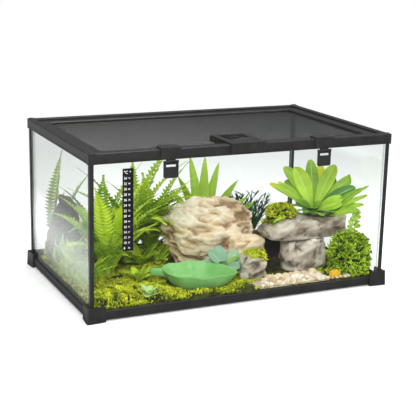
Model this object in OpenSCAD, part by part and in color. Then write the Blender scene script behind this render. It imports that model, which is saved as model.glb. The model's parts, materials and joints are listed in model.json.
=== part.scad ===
// Glass reptile terrarium with a hinged mesh lid, a feeding door and a planted interior.
// Origin: middle of the footprint, on the surface it stands on. +Z is up and the front faces -Y.

/* [Tank] */
// Width over the corner posts
tank_w = 508; // [480:1:560]
// Depth over the corner posts
tank_d = 312; // [300:1:360]
// Height from the table to the top of the rim
tank_h = 254; // [240:1:320]
// Thickness of the glass panels
glass_t = 4; // [3:0.5:5]
// Thickness of the corner posts' angle
post_t = 1.2; // [0.8:0.1:1.6]
// Width of each leg of the corner posts
post_leg = 6.5; // [5:0.5:10]
// Leg of the silicone beads in the corners
bead = 3; // [2:0.5:4]
// Gap that the silicone fills between two panels
panel_gap = 0.6; // [0.3:0.1:1]

/* [Base] */
// Length of a foot along the front
foot_x = 30; // [24:1:40]
// Length of a foot along the side
foot_y = 28; // [24:1:40]
// Height of the feet
foot_h = 24; // [22:1:34]
// How far the feet stand proud of the posts
foot_proud = 6.5; // [5.6:0.1:8]
// Depth of the slope under the inner ends of a foot
foot_ramp = 5; // [2:0.5:8]
// Height of the gap under the base rails
rail_lift = 4; // [2:0.5:6]
// Height of the base rails
rail_h = 12; // [10:0.5:16]
// Thickness of the base rails' web under the glass
web_t = 2; // [1.5:0.5:3]
// Width of the base rails' web
web_w = 22; // [15:1:30]
// How far the base rails stand proud of the posts
rail_proud = 1; // [0.5:0.1:1.5]

/* [Top frame] */
// Height of the rim
rim_h = 16; // [14:0.5:22]
// Width of the rim's top face
rim_w = 12; // [11:0.5:16]
// How far the rim overhangs the posts
rim_over = 1.9; // [1.2:0.1:2.5]
// Depth of the rim above the glass edge
rim_cap = 6; // [4:0.5:8]
// Width of the ledge that carries the lid
ledge_w = 12; // [8:0.5:14]
// Thickness of the ledge
ledge_t = 2; // [1.5:0.5:3]
// Height of the corner caps above the rim
cap_rise = 1.2; // [0.6:0.1:2]

/* [Lid] */
// Thickness of the lid's border bars
lid_t = 6; // [5.5:0.5:8]
// Width of the lid's border bars
border_w = 18; // [16:1:24]
// Depth of the lid's top below the rim's top
lid_drop = 3; // [2.8:0.1:5]
// Side clearance between the lid and the rim
lid_gap = 0.5; // [0.4:0.1:1]
// Thickness of the woven wire panel
mesh_t = 1; // [0.8:0.1:1.2]
// Width of a wire strand of the panel
wire_w = 1; // [0.8:0.1:1.4]
// Openings of the panel across the width
mesh_nx = 20; // [12:1:22]
// Openings of the panel across the depth
mesh_ny = 12; // [8:1:13]
// Radius of the lid's hinge pins
lid_pin_r = 1.5; // [1.2:0.1:1.8]
// Distance of the hinge axis from the lid's rear edge
hinge_inset = 5.9; // [5.5:0.1:7]

/* [Latches] */
// Distance of the latches from the tank's middle
latch_x = 130; // [100:1:180]
// Width of the bracket that wraps over the rim
bracket_w = 32; // [28:1:40]
// Thickness of the brackets' plate
bracket_t = 2.2; // [1.8:0.1:2.3]
// Clearance between the brackets and the rim
bracket_gap = 0.4; // [0.4:0.05:0.5]
// Width of the neck that carries the latch pin
neck_w = 15; // [12:0.5:18]
// Height of the latch pin below the rim's lower edge
pin_drop = 2.5; // [2.3:0.1:4]
// Outer radius of the latch knuckles
knuckle_r = 2; // [1.8:0.1:2.1]
// Radius of the latch pins
latch_pin_r = 0.9; // [0.7:0.1:1]
// Width of the latch levers
lever_w = 23.5; // [21:0.5:28]
// Length of the levers below the pin
lever_l = 24.5; // [20:0.5:32]
// Thickness of the levers
lever_t = 2; // [1.5:0.1:2.2]
// Width of the slot in the levers
slot_w = 16; // [10:0.5:17]
// Height of the slot in the levers
slot_h = 3.7; // [2.5:0.1:5]
// Radius of the levers' lower corners
lever_corner = 3; // [1:0.5:5]

/* [Feeding door] */
// Width of the door's surround
door_w = 60; // [56:1:80]
// Middle of the door, measured from the tank's middle
door_x = -2; // [-30:1:30]
// Depth of the surround from the lid's front bar to its rear edge
door_d = 45; // [40:1:70]
// Width of the surround's walls
door_wall = 6; // [5:0.5:8]
// Width of the door's tongue over the rim
tongue_w = 35.2; // [26:0.2:36]
// Width of the fixed arm left of the tongue
arm_left_w = 9.8; // [8:0.2:14]
// Thickness of the door leaf
leaf_t = 2.8; // [2.4:0.1:3.2]
// Side clearance around the door leaf
leaf_gap = 0.4; // [0.3:0.1:0.8]
// Radius of the door's hinge pin
door_pin_r = 1; // [0.8:0.1:1.2]
// Outer radius of the door's knuckles
door_knuckle_r = 2.6; // [2.3:0.1:2.8]

/* [Thermometer] */
// Width of the strip
strip_w = 17; // [14:0.5:22]
// Height of the strip
strip_h = 124; // [90:1:140]
// Thickness of the strip
strip_t = 0.6; // [0.4:0.1:1]
// Distance of the strip's middle from the tank's left side
strip_inset = 59; // [30:1:90]
// Distance of the strip's top below the rim
strip_drop = 9; // [4:1:40]

/* [Habitat] */
// Depth of the soil on the glass floor
soil_t = 4; // [3:0.5:20]
// Length of the water dish with its stem
dish_l = 140; // [110:1:160]
// Width of the water dish
dish_w = 91; // [60:1:100]
// Height of the water dish
dish_h = 25; // [18:1:32]
// Wall of the water dish
dish_wall = 3; // [2:0.5:4]
// Height of the sandstone above the soil
sandstone_h = 112; // [80:1:120]
// Height of the slab's underside above the soil
slab_lift = 54; // [36:1:60]
// Thickness of the slab
slab_t = 33; // [24:1:44]
// Number of leaves of the rosette plant
rosette_leaves = 14; // [9:1:21]
// Number of fern fronds in each clump
fern_fronds = 5; // [4:1:7]

/* [Hidden] */

$fn = 48;
eps = 0.02;
// Running clearance of a pin in its bore
run = 0.05;
// Clearance between a solid and its neighbour on another body
body_gap = 0.3;

half_w = tank_w / 2;
half_d = tank_d / 2;
floor_z = rail_lift + web_t;
rim_z = tank_h - rim_h;
glass_top = tank_h - rim_cap - body_gap;
// Faces of the glass, measured from the tank's middle
glass_x = half_w - post_t;
glass_y = half_d - post_t;
in_x = glass_x - glass_t;
in_y = glass_y - glass_t;
// Outer and inner faces of the rim
rim_x = half_w + rim_over;
rim_y = half_d + rim_over;
mouth_x = rim_x - rim_w;
mouth_y = rim_y - rim_w;

lid_x = mouth_x - lid_gap;
lid_y = mouth_y - lid_gap;
lid_top = tank_h - lid_drop;
lid_z = lid_top - lid_t;
ledge_z = lid_z - body_gap;
field_x = lid_x - border_w;
field_y = lid_y - border_w;
mesh_z = lid_z + 0.8;
mesh_seat = 4;
hinge_y = lid_y - hinge_inset;
hinge_z = lid_z + lid_t / 2;
lid_pin_in = 8;

// Faces of the plates that hang in front of the rim
plate_back = rim_y + bracket_gap;
plate_front = plate_back + bracket_t;
bracket_seat = 10;
bracket_low = 1;
bracket_top = tank_h + body_gap + bracket_t - 0.2;
latch_y = plate_back + knuckle_r;
latch_z = rim_z - pin_drop;
knuckle_gap = 0.3;

surround_back = -field_y + door_d;
surround_top = lid_top + 2.1;
leaf_z = surround_top + body_gap;
leaf_top = leaf_z + leaf_t;
door_hinge_y = surround_back - door_knuckle_r;
door_hinge_z = leaf_z;
door_left = door_x - door_w / 2;
door_right = door_x + door_w / 2;
tongue_left = door_left + arm_left_w + leaf_gap;
tongue_right = tongue_left + tongue_w;
arm_back = field_y + 4;
hole_front = field_y - 4;
hole_back = -surround_back + door_wall + 1;
door_knuckle_w = 10;

soil_z = floor_z + glass_t + soil_t;
soil_x = in_x - bead - body_gap;
soil_y = in_y - bead - body_gap;
// The habitat's plan is drawn for a bed of 245.5 x 147.5 half widths and spreads with the tank's bed
spread_x = soil_x / 245.5;
spread_y = soil_y / 147.5;
seat_z = soil_z;
slab_z = seat_z + slab_lift;

black = "#1c1c1b";
moss_green = "#8fa52a";

// ---------- general forms ----------

// A box given by its lowest and highest corners.
module span(low, high) {
    translate(low) cube(high - low);
}

// A profile in (distance inwards, height), drawn along the front side from x0 to x1.
module front_run(x0, x1, face) {
    translate([x0, -face, 0]) rotate([90, 0, 90]) linear_extrude(x1 - x0) children();
}

// The same profile along the left side, from y0 to y1.
module left_run(y0, y1, face) {
    translate([-face, y1, 0]) rotate([90, 0, 0]) linear_extrude(y1 - y0) children();
}

module x_cylinder(r, x0, x1, y, z) {
    translate([x0, y, z]) rotate([0, 90, 0]) cylinder(r = r, h = x1 - x0);
}

module mirror_x() {
    mirror([1, 0, 0]) children();
}

module mirror_y() {
    mirror([0, 1, 0]) children();
}

// ---------- base ----------

// One foot plate: a thin slice of the foot, grown outwards by the draft.
module foot_slice(grow, z) {
    r = 3;
    for (x = [r - grow, foot_x - 1], y = [r - grow, foot_y - 1])
        translate([x, y, z]) cylinder(r = x > foot_x / 2 || y > foot_y / 2 ? 1 : r, h = 1, $fn = 24);
}

// Front left foot: a moulded corner shoe whose floor and two walls take the glass and rails.
module foot() {
    color(black) difference() {
        translate([-half_w - foot_proud, -half_d - foot_proud, 0]) hull() {
            foot_slice(0, 0);
            foot_slice(-0.8, foot_h - 1);
        }
        span([-half_w, -half_d, floor_z], [0, 0, foot_h + 1]);
        translate([-half_w - foot_proud + foot_x, 0, 0]) rotate([0, 45, 0])
            cube([foot_ramp * sqrt(2), tank_d, foot_ramp * sqrt(2)], center = true);
        translate([0, -half_d - foot_proud + foot_y, 0]) rotate([45, 0, 0])
            cube([tank_w, foot_ramp * sqrt(2), foot_ramp * sqrt(2)], center = true);
    }
}

foot_in_x = half_w + foot_proud - foot_x;
foot_in_y = half_d + foot_proud - foot_y;
lip_t = rail_proud + post_t;

module base_profile() {
    polygon([
        [0, rail_lift], [0, rail_lift + rail_h - 0.8], [0.8, rail_lift + rail_h],
        [lip_t, rail_lift + rail_h], [lip_t, floor_z], [web_w, floor_z], [web_w, rail_lift]
    ]);
}

// The tongue that plugs into the foot beside the glass.
module base_tongue() {
    translate([rail_proud, floor_z]) square([post_t, rail_lift + rail_h - floor_z]);
}

module base_rail_front() {
    plug = half_w - post_leg;
    color(black) {
        front_run(-foot_in_x, foot_in_x, half_d + rail_proud) base_profile();
        front_run(-plug, plug, half_d + rail_proud) base_tongue();
    }
}

module base_rail_left() {
    plug = half_d - post_leg;
    color(black) {
        left_run(-foot_in_y, foot_in_y, half_w + rail_proud) base_profile();
        left_run(-plug, plug, half_w + rail_proud) base_tongue();
    }
}

// ---------- glass ----------

module glass_floor() {
    x = in_x - panel_gap;
    y = in_y - panel_gap;
    color("#cfe3df", 0.35) span([-x, -y, floor_z], [x, y, floor_z + glass_t]);
}

module glass_front() {
    color("#cfe3df", 0.3) span([-glass_x, -glass_y, floor_z], [glass_x, -in_y, glass_top]);
}

module glass_left() {
    y = in_y - panel_gap;
    color("#cfe3df", 0.3) span([-glass_x, -y, floor_z], [-in_x, y, glass_top]);
}

// Triangular beads of silicone up the four corners and round the floor.
module silicone_beads() {
    low = floor_z + glass_t;
    color("#d8dcda", 0.6) {
        for (sx = [-1, 1], sy = [-1, 1]) {
            translate([sx * in_x, sy * in_y, low]) linear_extrude(rim_z - body_gap - low)
                polygon([[0, 0], [-sx * bead, 0], [0, -sy * bead]]);
        }
        for (s = [-1, 1]) {
            translate([-in_x, s * in_y, low]) rotate([90, 0, 90]) linear_extrude(2 * in_x)
                polygon([[0, 0], [-s * bead, 0], [0, bead]]);
            translate([s * in_x, in_y, low]) rotate([90, 0, 0]) linear_extrude(2 * in_y)
                polygon([[0, 0], [-s * bead, 0], [0, bead]]);
        }
    }
}

// Front left post: an angle that covers the glass edges, from the foot into the corner cap.
module post() {
    color(black) difference() {
        span([-half_w, -half_d, floor_z], [-half_w + post_leg, -half_d + post_leg, glass_top]);
        span([-half_w + post_t, -half_d + post_t, 0], [0, 0, tank_h]);
    }
}

// ---------- top frame ----------

// Rim with a groove for the glass and a ledge of the given width for the lid.
module rim_profile(ledge) {
    skirt = rim_over + post_t - 0.05;
    inner = skirt + glass_t + 0.1;
    slot_top = tank_h - rim_cap;
    line_z = rim_z + 3;
    polygon(concat(
        [
            [0, rim_z + 0.6], [0, line_z], [0.5, line_z + 0.3], [0.5, line_z + 0.8], [0, line_z + 1.1],
            [0, tank_h - 1.2], [1.2, tank_h], [rim_w - 0.6, tank_h], [rim_w, tank_h - 0.6]
        ],
        ledge > 0 ? [
            [rim_w, ledge_z], [rim_w + ledge, ledge_z],
            [rim_w + ledge, ledge_z - ledge_t], [rim_w, ledge_z - ledge_t]
        ] : [],
        [
            [rim_w, rim_z + 0.6], [rim_w - 0.6, rim_z], [inner, rim_z], [inner, slot_top],
            [skirt, slot_top], [skirt, rim_z], [0.6, rim_z]
        ]
    ));
}

module top_rail_front() {
    color(black) front_run(-mouth_x, mouth_x, rim_y) rim_profile(ledge_w);
}

module top_rail_back() {
    color(black) mirror_y() front_run(-mouth_x, mouth_x, rim_y) rim_profile(0);
}

// The side rails' ledges stop short of the lid's hinge, and the pin sits in a blind bore.
module top_rail_left() {
    ledge_end = hinge_y - hinge_inset - 0.6;
    color(black) difference() {
        union() {
            left_run(-mouth_y, mouth_y, rim_x) rim_profile(0);
            span([-mouth_x - 1, -mouth_y + ledge_w, ledge_z - ledge_t], [-mouth_x + ledge_w, ledge_end, ledge_z]);
        }
        x_cylinder(lid_pin_r, -in_x + 0.2, -mouth_x + 1, hinge_y, hinge_z);
    }
}

// Front left corner cap: joins two rails and caps the post.
module corner_cap() {
    color(black) difference() {
        union() {
            span([-rim_x, -rim_y, rim_z], [-mouth_x, -mouth_y, tank_h]);
            translate([-rim_x + rim_w / 2, -rim_y + rim_w / 2, tank_h - eps])
                cylinder(r1 = rim_w / 2 - 0.4, r2 = rim_w / 2 - 1.6, h = cap_rise + eps);
        }
        span([-half_w, -half_d, 0], [0, -in_y + 0.05, tank_h - rim_cap]);
        span([-half_w, -half_d, 0], [-in_x + 0.05, 0, tank_h - rim_cap]);
    }
}

module lid_hinge_pins() {
    color("#9a9a98") for (s = [0, 1]) mirror([s, 0, 0])
        x_cylinder(lid_pin_r, -in_x + 0.3, -lid_x + lid_pin_in - 0.3, hinge_y, hinge_z);
}

// ---------- thermometer ----------

module thermometer_strip() {
    x = -half_w + strip_inset - strip_w / 2;
    z = rim_z - strip_drop - strip_h;
    color("#101010") translate([x, -glass_y, z]) rotate([90, 0, 0]) linear_extrude(strip_t)
        square([strip_w, strip_h]);
}

// ---------- lid ----------

// Border bar with a slot for the mesh; round is the radius of its outer edge.
module bar_profile(round) {
    slot_low = mesh_z - 0.05;
    slot_high = mesh_z + mesh_t + 0.05;
    edge = round > 0
        ? [for (a = [-90:-15:-270]) [round + round * cos(a), hinge_z + round * sin(a)]]
        : [[0, lid_z], [0, lid_top]];
    polygon(concat(edge, [
        [border_w - 1.5, lid_top], [border_w, lid_top - 1.5], [border_w, slot_high],
        [border_w - mesh_seat, slot_high], [border_w - mesh_seat, slot_low],
        [border_w, slot_low], [border_w, lid_z]
    ]));
}

module lid_bar_front() {
    color(black) front_run(-lid_x, lid_x, lid_y) bar_profile(0);
}

module lid_bar_back() {
    color(black) difference() {
        mirror_y() front_run(-lid_x, lid_x, lid_y) bar_profile(lid_t / 2);
        for (s = [0, 1]) mirror([s, 0, 0])
            x_cylinder(lid_pin_r + run, -lid_x - 1, -lid_x + lid_pin_in, hinge_y, hinge_z);
    }
}

module lid_bar_left() {
    color(black) left_run(-field_y, field_y, lid_x) bar_profile(0);
}

// Woven panel, with an opening under the feeding door.
module lid_mesh() {
    reach = mesh_seat - 0.2;
    step_x = (2 * field_x - wire_w) / mesh_nx;
    step_y = (2 * field_y - wire_w) / mesh_ny;
    rim = 3;
    color("#2b2b2a") translate([0, 0, mesh_z]) linear_extrude(mesh_t) difference() {
        translate([-field_x - reach, -field_y - reach]) square([2 * (field_x + reach), 2 * (field_y + reach)]);
        difference() {
            for (i = [0:mesh_nx - 1], j = [0:mesh_ny - 1])
                translate([-field_x + wire_w + i * step_x, -field_y + wire_w + j * step_y])
                    square([step_x - wire_w, step_y - wire_w]);
            translate([door_left, -field_y - reach]) square([door_w, door_d + reach]);
        }
        translate([door_left + rim, -field_y - reach - 1])
            square([door_w - 2 * rim, door_d + reach + 1 - rim]);
    }
}

// ---------- feeding door ----------

// Fixed arms that wrap over the rim on both sides of the door's tongue.
module door_arm(x0, x1) {
    low = rim_z + 2.4;
    difference() {
        span([x0, -plate_front, low], [x1, -arm_back, bracket_top]);
        span([x0 - 1, -plate_back, low - 1], [x1 + 1, -lid_y + 0.2, tank_h + body_gap]);
        span([x0 - 1, -lid_y + 0.1, 0], [x1 + 1, 0, surround_top]);
        translate([x0 - 1, -plate_front, bracket_top]) rotate([45, 0, 0])
            cube([x1 - x0 + 2, 1.4, 1.4], center = false);
    }
}

// Surround of the feeding opening, fixed to the mesh and to the lid's front bar.
module door_surround() {
    mesh_top = mesh_z + mesh_t;
    ear = door_knuckle_w;
    color(black) difference() {
        union() {
            span([door_left, -field_y, mesh_top], [door_right, surround_back, surround_top]);
            span([door_left, -lid_y + 0.1, lid_top], [door_right, -field_y + 1, surround_top]);
            door_arm(door_left, door_left + arm_left_w);
            door_arm(tongue_right + leaf_gap, door_right);
            x_cylinder(door_knuckle_r, door_left, door_left + ear, door_hinge_y, door_hinge_z);
            x_cylinder(door_knuckle_r, door_right - ear, door_right, door_hinge_y, door_hinge_z);
        }
        span([door_left + door_wall, -hole_front, 0], [door_right - door_wall, -hole_back, tank_h + 10]);
        span(
            [door_left + ear, door_hinge_y - door_knuckle_r - body_gap, door_hinge_z - door_knuckle_r - body_gap],
            [door_right - ear, surround_back + 1, tank_h + 10]
        );
        x_cylinder(door_pin_r, door_left + 1, door_right - 1, door_hinge_y, door_hinge_z);
    }
}

module door_pin() {
    color("#9a9a98") x_cylinder(door_pin_r, door_left + 1, door_right - 1, door_hinge_y, door_hinge_z);
}

// Leaf with a wire window, a ribbed pull at the front and a tongue over the rim.
module feeding_door() {
    wide_front = arm_back - leaf_gap;
    wide_back = -door_hinge_y + door_knuckle_r + leaf_gap;
    knuckle_x = door_left + door_knuckle_w + leaf_gap;
    window = [door_left + 9, -hole_front + 6, door_right - 9, -wide_back - 5];
    color(black) difference() {
        union() {
            span([door_left + leaf_gap, -wide_front, leaf_z], [door_right - leaf_gap, -wide_back, leaf_top]);
            span([tongue_left, -plate_front, leaf_z], [tongue_right, -wide_front + 1, leaf_top]);
            span([tongue_left, -plate_front, rim_z + 3.2], [tongue_right, -plate_back, leaf_z + 1]);
            span([knuckle_x, -wide_back - 1, leaf_z], [2 * door_x - knuckle_x, door_hinge_y, leaf_top - 0.2]);
            x_cylinder(door_knuckle_r, knuckle_x, 2 * door_x - knuckle_x, door_hinge_y, door_hinge_z);
            for (i = [0:3])
                x_cylinder(0.7, tongue_left + 4, tongue_right - 4, -lid_y + 2.5 + 3 * i, leaf_top);
            span([tongue_left + 2, -hole_front - 1, leaf_top - 1], [tongue_left + 20, -hole_front + 3, leaf_top + 2]);
        }
        span([tongue_left - 1, -plate_back, 0], [tongue_right + 1, -lid_y + 0.2, tank_h + body_gap]);
        x_cylinder(door_pin_r + run, knuckle_x - 1, 2 * door_x - knuckle_x + 1, door_hinge_y, door_hinge_z);
        for (i = [0:4], j = [0:2])
            translate([
                window[0] + i * (window[2] - window[0] + wire_w) / 5,
                window[1] + j * (window[3] - window[1] + wire_w) / 3,
                leaf_z - 1
            ])
                cube([(window[2] - window[0] + wire_w) / 5 - wire_w, (window[3] - window[1] + wire_w) / 3 - wire_w, 6]);
    }
}

// ---------- latches ----------

// Bracket seated on the lid's front bar, wrapped over the rim, with a neck for the pin.
module latch_bracket() {
    low = rim_z + bracket_low;
    seat_back = -lid_y + bracket_seat;
    color(black) difference() {
        union() {
            difference() {
                span([-bracket_w / 2, -plate_front, low], [bracket_w / 2, seat_back, bracket_top]);
                span([-bracket_w, -plate_back, low - 1], [bracket_w, -lid_y + 0.2, tank_h + body_gap]);
                span([-bracket_w, -lid_y + 0.1, 0], [bracket_w, 0, lid_top]);
                for (s = [-1, 1]) translate([s * bracket_w / 2, seat_back, 0]) rotate([0, 0, 45])
                    cube([9, 9, 3 * tank_h], center = true);
            }
            span([-neck_w / 2, -plate_front, latch_z], [neck_w / 2, -plate_back, low + 1]);
            x_cylinder(knuckle_r, -neck_w / 2, neck_w / 2, -latch_y, latch_z);
        }
        x_cylinder(latch_pin_r, -neck_w / 2 - 1, neck_w / 2 + 1, -latch_y, latch_z);
    }
}

lever_low = lever_w / 2;
lever_side = (lever_w - neck_w) / 2 - knuckle_gap;

module latch_pins() {
    color("#9a9a98")
        for (side = [-1, 1])
            translate([side * latch_x, 0, 0])
                x_cylinder(latch_pin_r, -lever_low, lever_low, -latch_y, latch_z);
}

// Lever plate with a knuckle at each side of the neck and a slot under the pin.
module latch_lever() {
    r = lever_corner;
    top = -knuckle_r - knuckle_gap;
    slot_top = top - 2;
    color(black) translate([0, -latch_y, latch_z]) difference() {
        union() {
            for (s = [-1, 1]) translate([s * (lever_low - lever_side / 2), 0, 0]) {
                x_cylinder(knuckle_r, -lever_side / 2, lever_side / 2, 0, 0);
                span([-lever_side / 2, -lever_t / 2, top - 1], [lever_side / 2, lever_t / 2, 0]);
            }
            span([-lever_low, -lever_t / 2, -lever_l + r], [lever_low, lever_t / 2, top]);
            span([-lever_low + r, -lever_t / 2, -lever_l], [lever_low - r, lever_t / 2, -lever_l + r + 1]);
            for (s = [-1, 1]) translate([s * (lever_low - r), lever_t / 2, -lever_l + r])
                rotate([90, 0, 0]) cylinder(r = r, h = lever_t);
        }
        x_cylinder(latch_pin_r + run, -lever_w, lever_w, 0, 0);
        span([-slot_w / 2, -lever_t, slot_top - slot_h], [slot_w / 2, lever_t, slot_top]);
    }
}

// ---------- habitat: forms ----------

// Surface ripple of a stone in the direction n from its middle.
function ripple(n, seed) =
    0.45 * sin(190 * n[0] + 57 * seed) * cos(150 * n[2]) + 0.35 * sin(230 * n[1] - 31 * seed + 90 * n[2])
    + 0.3 * sin(320 * n[2] + 83 * seed + 120 * n[0]) + 0.2 * sin(420 * (n[0] + n[1]) + 11 * seed);

// Blocky superellipse term: a power of a signed sine or cosine.
function lobe(v, p) = sign(v) * pow(abs(v), p);

function clip(v, low, high) = max(low, min(high, v));

// A weathered stone: half sizes s, centre height c, flat at heights low and high.
module stone(s, c, low, high, seed, rough = 0.12, square_off = 0.75, lon = 20, lat = 10) {
    rings = [for (j = [1:lat - 1]) let (b = -90 + 180 * j / lat) [for (i = [0:lon - 1])
        let (
            a = 360 * i / lon,
            k = 1 + rough * ripple([cos(b) * cos(a), cos(b) * sin(a), sin(b)], seed),
            h = lobe(cos(b), square_off)
        )
        [
            s[0] * k * h * lobe(cos(a), square_off),
            s[1] * k * h * lobe(sin(a), square_off),
            clip(c + s[2] * k * lobe(sin(b), square_off), low, high)
        ]]];
    crown = clip(c + s[2] * (1 + rough * ripple([0, 0, 1], seed)), low, high);
    points = concat([[0, 0, low]], [for (r = rings) each r], [[0, 0, crown]]);
    last = len(points) - 1;
    faces = concat(
        [for (i = [0:lon - 1]) [0, 1 + i, 1 + (i + 1) % lon]],
        [for (j = [0:lat - 3], i = [0:lon - 1]) let (p = 1 + j * lon, n = (i + 1) % lon)
            each [[p + i, p + lon + i, p + n], [p + n, p + lon + i, p + lon + n]]],
        [for (i = [0:lon - 1]) let (p = 1 + (lat - 2) * lon) [last, p + (i + 1) % lon, p + i]]
    );
    polyhedron(points, faces);
}

// Half width of a leaf, as a share of its widest, at t from stem to tip; blunt leaves are wide late.
function leaf_form(t, blunt) = max(0.05, pow(sin(180 * pow(t, blunt)), 0.7));

// A leaf that leaves its stem at angle lift and bends by droop degrees on the way to its tip.
module leaf(length, width, thick, lift, droop, blunt = 1.3, steps = 5) {
    path = [for (i = [0:steps]) let (angles = [for (j = [0:1:i - 1]) lift - droop * (j + 0.5) / steps])
        length / steps * [
            i == 0 ? 0 : sum([for (v = angles) cos(v)]),
            i == 0 ? 0 : sum([for (v = angles) sin(v)])
        ]];
    for (i = [0:steps - 1]) hull() for (k = [i, i + 1]) {
        w = width / 2 * leaf_form(0.08 + 0.9 * k / steps, blunt);
        translate([path[k][0], 0, path[k][1]]) rotate([90, 0, 90]) linear_extrude(0.3)
            polygon([[-w, 0.2 * w], [0, thick / 2], [w, 0.2 * w], [0, -thick / 2]]);
    }
}

function sum(v, i = 0) = i < len(v) ? v[i] + sum(v, i + 1) : 0;

// A short stem on the ground that carries a plant's leaves.
module stem(r, h) {
    cylinder(r1 = r, r2 = r * 0.8, h = h, $fn = 10);
}

// A feathered frond: one thin ribbon with serrated edges that arches from angle lift by droop degrees.
module frond(length, width, lift, droop, teeth = 7, thick = 1.4) {
    n = 2 * teeth;
    angle = [for (i = [0:n]) lift - droop * i / n];
    path = [for (i = [0:n]) length / n * [
        i == 0 ? 0 : sum([for (j = [0:i - 1]) cos(angle[j])]),
        i == 0 ? 0 : sum([for (j = [0:i - 1]) sin(angle[j])])
    ]];
    half = [for (i = [0:n]) i == 0 ? 1 : width / 2 * pow(sin(8 + 165 * pow(i / n, 1.1)), 0.7) * (i % 2 == 1 ? 1 : 0.4)];
    points = [for (i = [0:n], up = [1, -1], side = [1, -1]) [
        path[i][0] - up * thick / 2 * sin(angle[i]), side * half[i], path[i][1] + up * thick / 2 * cos(angle[i])
    ]];
    polyhedron(points, concat(
        [[0, 1, 3, 2], [4 * n, 4 * n + 2, 4 * n + 3, 4 * n + 1]],
        [for (i = [0:n - 1]) let (p = 4 * i) each [
            [p, p + 4, p + 5], [p, p + 5, p + 1], [p + 3, p + 7, p + 6], [p + 3, p + 6, p + 2],
            [p, p + 6, p + 4], [p, p + 2, p + 6], [p + 1, p + 7, p + 3], [p + 1, p + 5, p + 7]
        ]]
    ));
}

// A place in the habitat's plan, and the two half widths of something that grows with the bed.
module at(x, y, z = seat_z) translate([x * spread_x, y * spread_y, z]) children();
function wide(x, y, h) = [x * spread_x, y * spread_y, h];

// Moss banks along the glass: middle x and y, half sizes and height.
banks = [
    [-200, -112, 40, 32, 18], [-216, -30, 27, 42, 15], [-128, -127, 30, 18, 14],
    [-62, -140, 34, 6, 8], [8, -134, 20, 12, 10], [196, 112, 42, 28, 18], [221, 44, 22, 34, 14]
];

// Level bed of soil and low moss that everything stands on.
module soil_bed() {
    color(moss_green) span([-soil_x, -soil_y, floor_z + glass_t], [soil_x, soil_y, soil_z]);
}

module moss_banks() {
    color(moss_green) for (k = [0:len(banks) - 1]) let (b = banks[k])
        at(b[0], b[1]) stone(wide(b[2], b[3], b[4]), 0, 0, b[4], k + 1, 0.05, 1, 18, 8);
}

module sandstone_rock() {
    color("#c9a87c") at(28, 34)
        stone(wide(88, 40, sandstone_h * 0.56), sandstone_h * 0.42, 0, sandstone_h, 1, 0.13, 0.95, 26, 13);
}

module prop_rock() {
    color("#8b8377") at(66, -32) stone(wide(35, 18, 42), 24, 0, slab_lift, 3, 0.1, 0.8, 20, 10);
}

module cave_rock() {
    color("#8d857a") at(156, -62) stone(wide(38, 28, 48), 22, 0, slab_lift, 5, 0.1, 0.7, 20, 10);
}

module moss_stone() {
    color("#8b8377") at(49, -88) stone(wide(23, 16, 30), 18, 0, 46, 9, 0.12, 0.85, 16, 9);
}

module slab_rock() {
    color("#9a8f80") at(168, -47, slab_z)
        stone(wide(86, 34, slab_t * 1.05), slab_t * 0.2, 0, slab_t, 2, 0.1, 0.8, 26, 11);
}

module grey_boulder() {
    color("#7f8a7c") at(-214, 92) stone(wide(28, 46, 74), 58, 0, 130, 7, 0.1, 1, 18, 11);
}

module yellow_stone() {
    color("#e8b21c") at(178, -134) rotate([0, 0, 12])
        stone(wide(11, 7, 9), 5, 0, 14, 4, 0.08, 0.9, 12, 7);
}

// Rows of pebbles bedded on a thin layer of sand. Shuffled sizes come from a formula.
module river_pebbles() {
    half = wide(64, 20, 0);
    color("#e0d3bb") at(98, -125) {
        translate([-half[0], -half[1], 0]) cube([2 * half[0], 2 * half[1], 2]);
        for (i = [0:8], j = [0:3]) {
            r = 4.8 + 1.2 * sin(137 * i + 71 * j);
            x = -half[0] + spread_x * (8 + i * 13) + 1.5 * sin(97 * i + 40 * j);
            y = -half[1] + spread_y * (6 + j * 9.4) + 1.5 * cos(61 * i + 113 * j);
            translate([x, y, 2]) rotate([0, 0, 50 * i + 80 * j])
                stone([r * 1.4, r, r * 0.85], r * 0.35, -1, 20, i + j, 0.05, 1, 7, 4);
        }
    }
}

// ---------- habitat: water dish ----------

// Half width of the dish's leaf outline at t from the stem end to the tip, with scalloped edges.
function dish_half(t) = pow(sin(180 * pow(t, 0.82)), 0.62) * (1 + 0.035 * cos(1260 * t));

// One closed ring of the dish: k scales the outline, z lifts it.
function dish_ring(k, z, wave, n) = let (body = dish_l - 18) [for (i = [0:2 * n - 1])
    let (
        side = i < n ? 1 : -1,
        t = i < n ? i / n : (2 * n - i) / n,
        mid = 0.46
    )
    [body * (mid + (t - mid) * k), side * k * dish_w / 2 * dish_half(t), z + wave * cos(900 * t)]];

// A closed loft through rings that share one number of points.
module loft(rings) {
    count = len(rings[0]);
    top = len(rings) - 1;
    polyhedron([for (r = rings) each r], concat(
        [[for (i = [count - 1:-1:0]) i]],
        [for (j = [0:top - 1], i = [0:count - 1]) let (p = j * count, m = (i + 1) % count)
            each [[p + i, p + m, p + count + i], [p + m, p + count + m, p + count + i]]],
        [[for (i = [0:count - 1]) top * count + i]]
    ));
}

module water_dish() {
    n = 18;
    inner = 1 - 2 * dish_wall / dish_w;
    color("#6cb65c") at(-115, -49) rotate([0, 0, -30]) difference() {
        union() {
            translate([18, 0, 0]) loft([
                dish_ring(0.66, 0, 0, n), dish_ring(0.86, dish_h * 0.45, 0, n), dish_ring(1, dish_h, 1.2, n)
            ]);
            translate([2, -7, dish_h - 13]) cube([26, 14, 11]);
        }
        translate([18, 0, 0]) loft([
            dish_ring(0.6, dish_wall, 0, n), dish_ring(0.86 * inner, dish_h * 0.5, 0, n),
            dish_ring(inner, dish_h + 3, 0, n)
        ]);
    }
}

// ---------- habitat: plants ----------

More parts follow.
